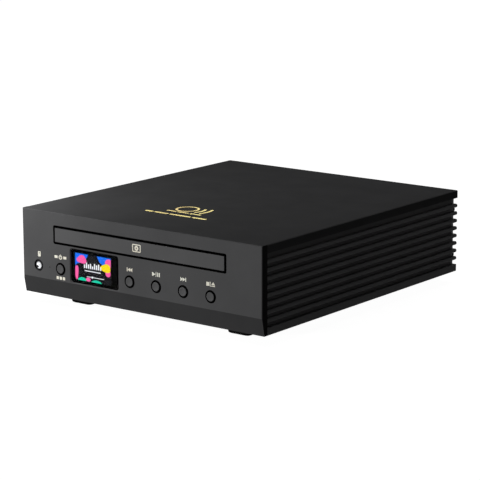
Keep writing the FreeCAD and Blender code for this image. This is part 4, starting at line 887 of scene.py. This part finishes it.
# Place, width of the lamp, power in watts, and the place that it is aimed at.
LAMPS = {
    "key": ((-1.87, -2.29, 0.2), 0.3, 59.0, MIDDLE),
    "corner": ((-0.152, -0.154, 0.143), 0.05, 0.163, (-0.12, 0.1, -0.37)),
    "back": ((-0.4, 2.4, 0.2), 0.3, 12.0, MIDDLE),
    "above": ((-0.3, 0.7, 1.6), 1.2, 5.4, MIDDLE),
    "right": ((2.5, 0.8, 0.28), 0.5, 3.0, MIDDLE),
}


def seen_ray(tree):
    """1 for a ray from the camera, off a mirror or through glass, 0 for light that falls on a surface."""
    rays = tree.nodes.new("ShaderNodeLightPath").outputs
    mirrored = calculated(tree, "MAXIMUM", rays["Is Camera Ray"], rays["Is Glossy Ray"])
    return calculated(tree, "MAXIMUM", mirrored, rays["Is Transmission Ray"])


def floor():
    """Large white floor that keeps the object's shadow, and that is open from below."""
    bm = bmesh.new()
    z = cad_box[0][2] - FLOOR_GAP
    bm.faces.new([bm.verts.new(Vector((sx * FLOOR_HALF, sy * FLOOR_HALF, z))) for sx, sy in CORNERS])
    piece = in_scene("floor", meshed(bm, "floor"))
    material, tree, shader, place = new_material("floor")
    filled(shader, {"Roughness": 0.9, "Specular IOR Level": 0.0})
    tree.links.new(blended(tree, noise(tree, place, 3.0), *FLOOR_GREYS), shader.inputs["Base Color"])
    glow = filled(tree.nodes.new("ShaderNodeEmission"), {"Color": FLOOR_GLOW})
    tree.links.new(seen_ray(tree), glow.inputs["Strength"])
    both = tree.nodes.new("ShaderNodeAddShader")
    tree.links.new(shader.outputs[0], both.inputs[0])
    tree.links.new(glow.outputs[0], both.inputs[1])
    open_below = tree.nodes.new("ShaderNodeMixShader")
    from_below = tree.nodes.new("ShaderNodeNewGeometry").outputs["Backfacing"]
    clear = tree.nodes.new("ShaderNodeBsdfTransparent").outputs[0]
    for source, socket in zip((from_below, both.outputs[0], clear), open_below.inputs):
        tree.links.new(source, socket)
    tree.links.new(open_below.outputs[0], tree.nodes["Material Output"].inputs["Surface"])
    piece.data.materials.append(material)


def world():
    """Dim, even sky that looks white."""
    sky = bpy.data.worlds.new("studio")
    sky.use_nodes = True
    tree = sky.node_tree
    background = filled(tree.nodes["Background"], {"Color": (1.0, 1.0, 1.0, 1.0)})
    level = ranged(tree, seen_ray(tree), (0.0, 1.0), (SKY_LIGHT, 1.0))
    tree.links.new(level, background.inputs["Strength"])
    bpy.context.scene.world = sky


def lamp(name, place, width, power, target):
    """Square soft box aimed at a place."""
    data = bpy.data.lights.new(name, "AREA")
    data.shape = "SQUARE"
    data.size = width
    data.energy = power
    thing = in_scene(name, data)
    thing.location = place
    thing.rotation_euler = (Vector(target) - Vector(place)).to_track_quat("-Z", "Y").to_euler()
    thing.visible_camera = False


def camera():
    """Camera of the photograph."""
    az, el, roll = CAMERA_AZIMUTH, CAMERA_ELEVATION, CAMERA_ROLL
    back = Vector((math.sin(az) * math.cos(el), -math.cos(az) * math.cos(el), math.sin(el)))
    right = (-back).cross(Vector((0, 0, 1))).normalized()
    up = right.cross(-back)
    across = math.cos(roll) * right + math.sin(roll) * up
    over = math.cos(roll) * up - math.sin(roll) * right
    data = bpy.data.cameras.new("camera")
    data.lens = CAMERA_LENS
    data.sensor_width = CAMERA_SENSOR
    data.clip_end = CAMERA_REACH
    thing = in_scene("camera", data)
    turn = Matrix((across, over, back)).transposed().to_4x4()
    thing.matrix_world = Matrix.Translation(CAMERA_PLACE) @ turn
    bpy.context.scene.camera = thing


floor()
world()
for name, settings in LAMPS.items():
    lamp(name, *settings)
camera()
bpy.context.scene.view_settings.view_transform = "Standard"
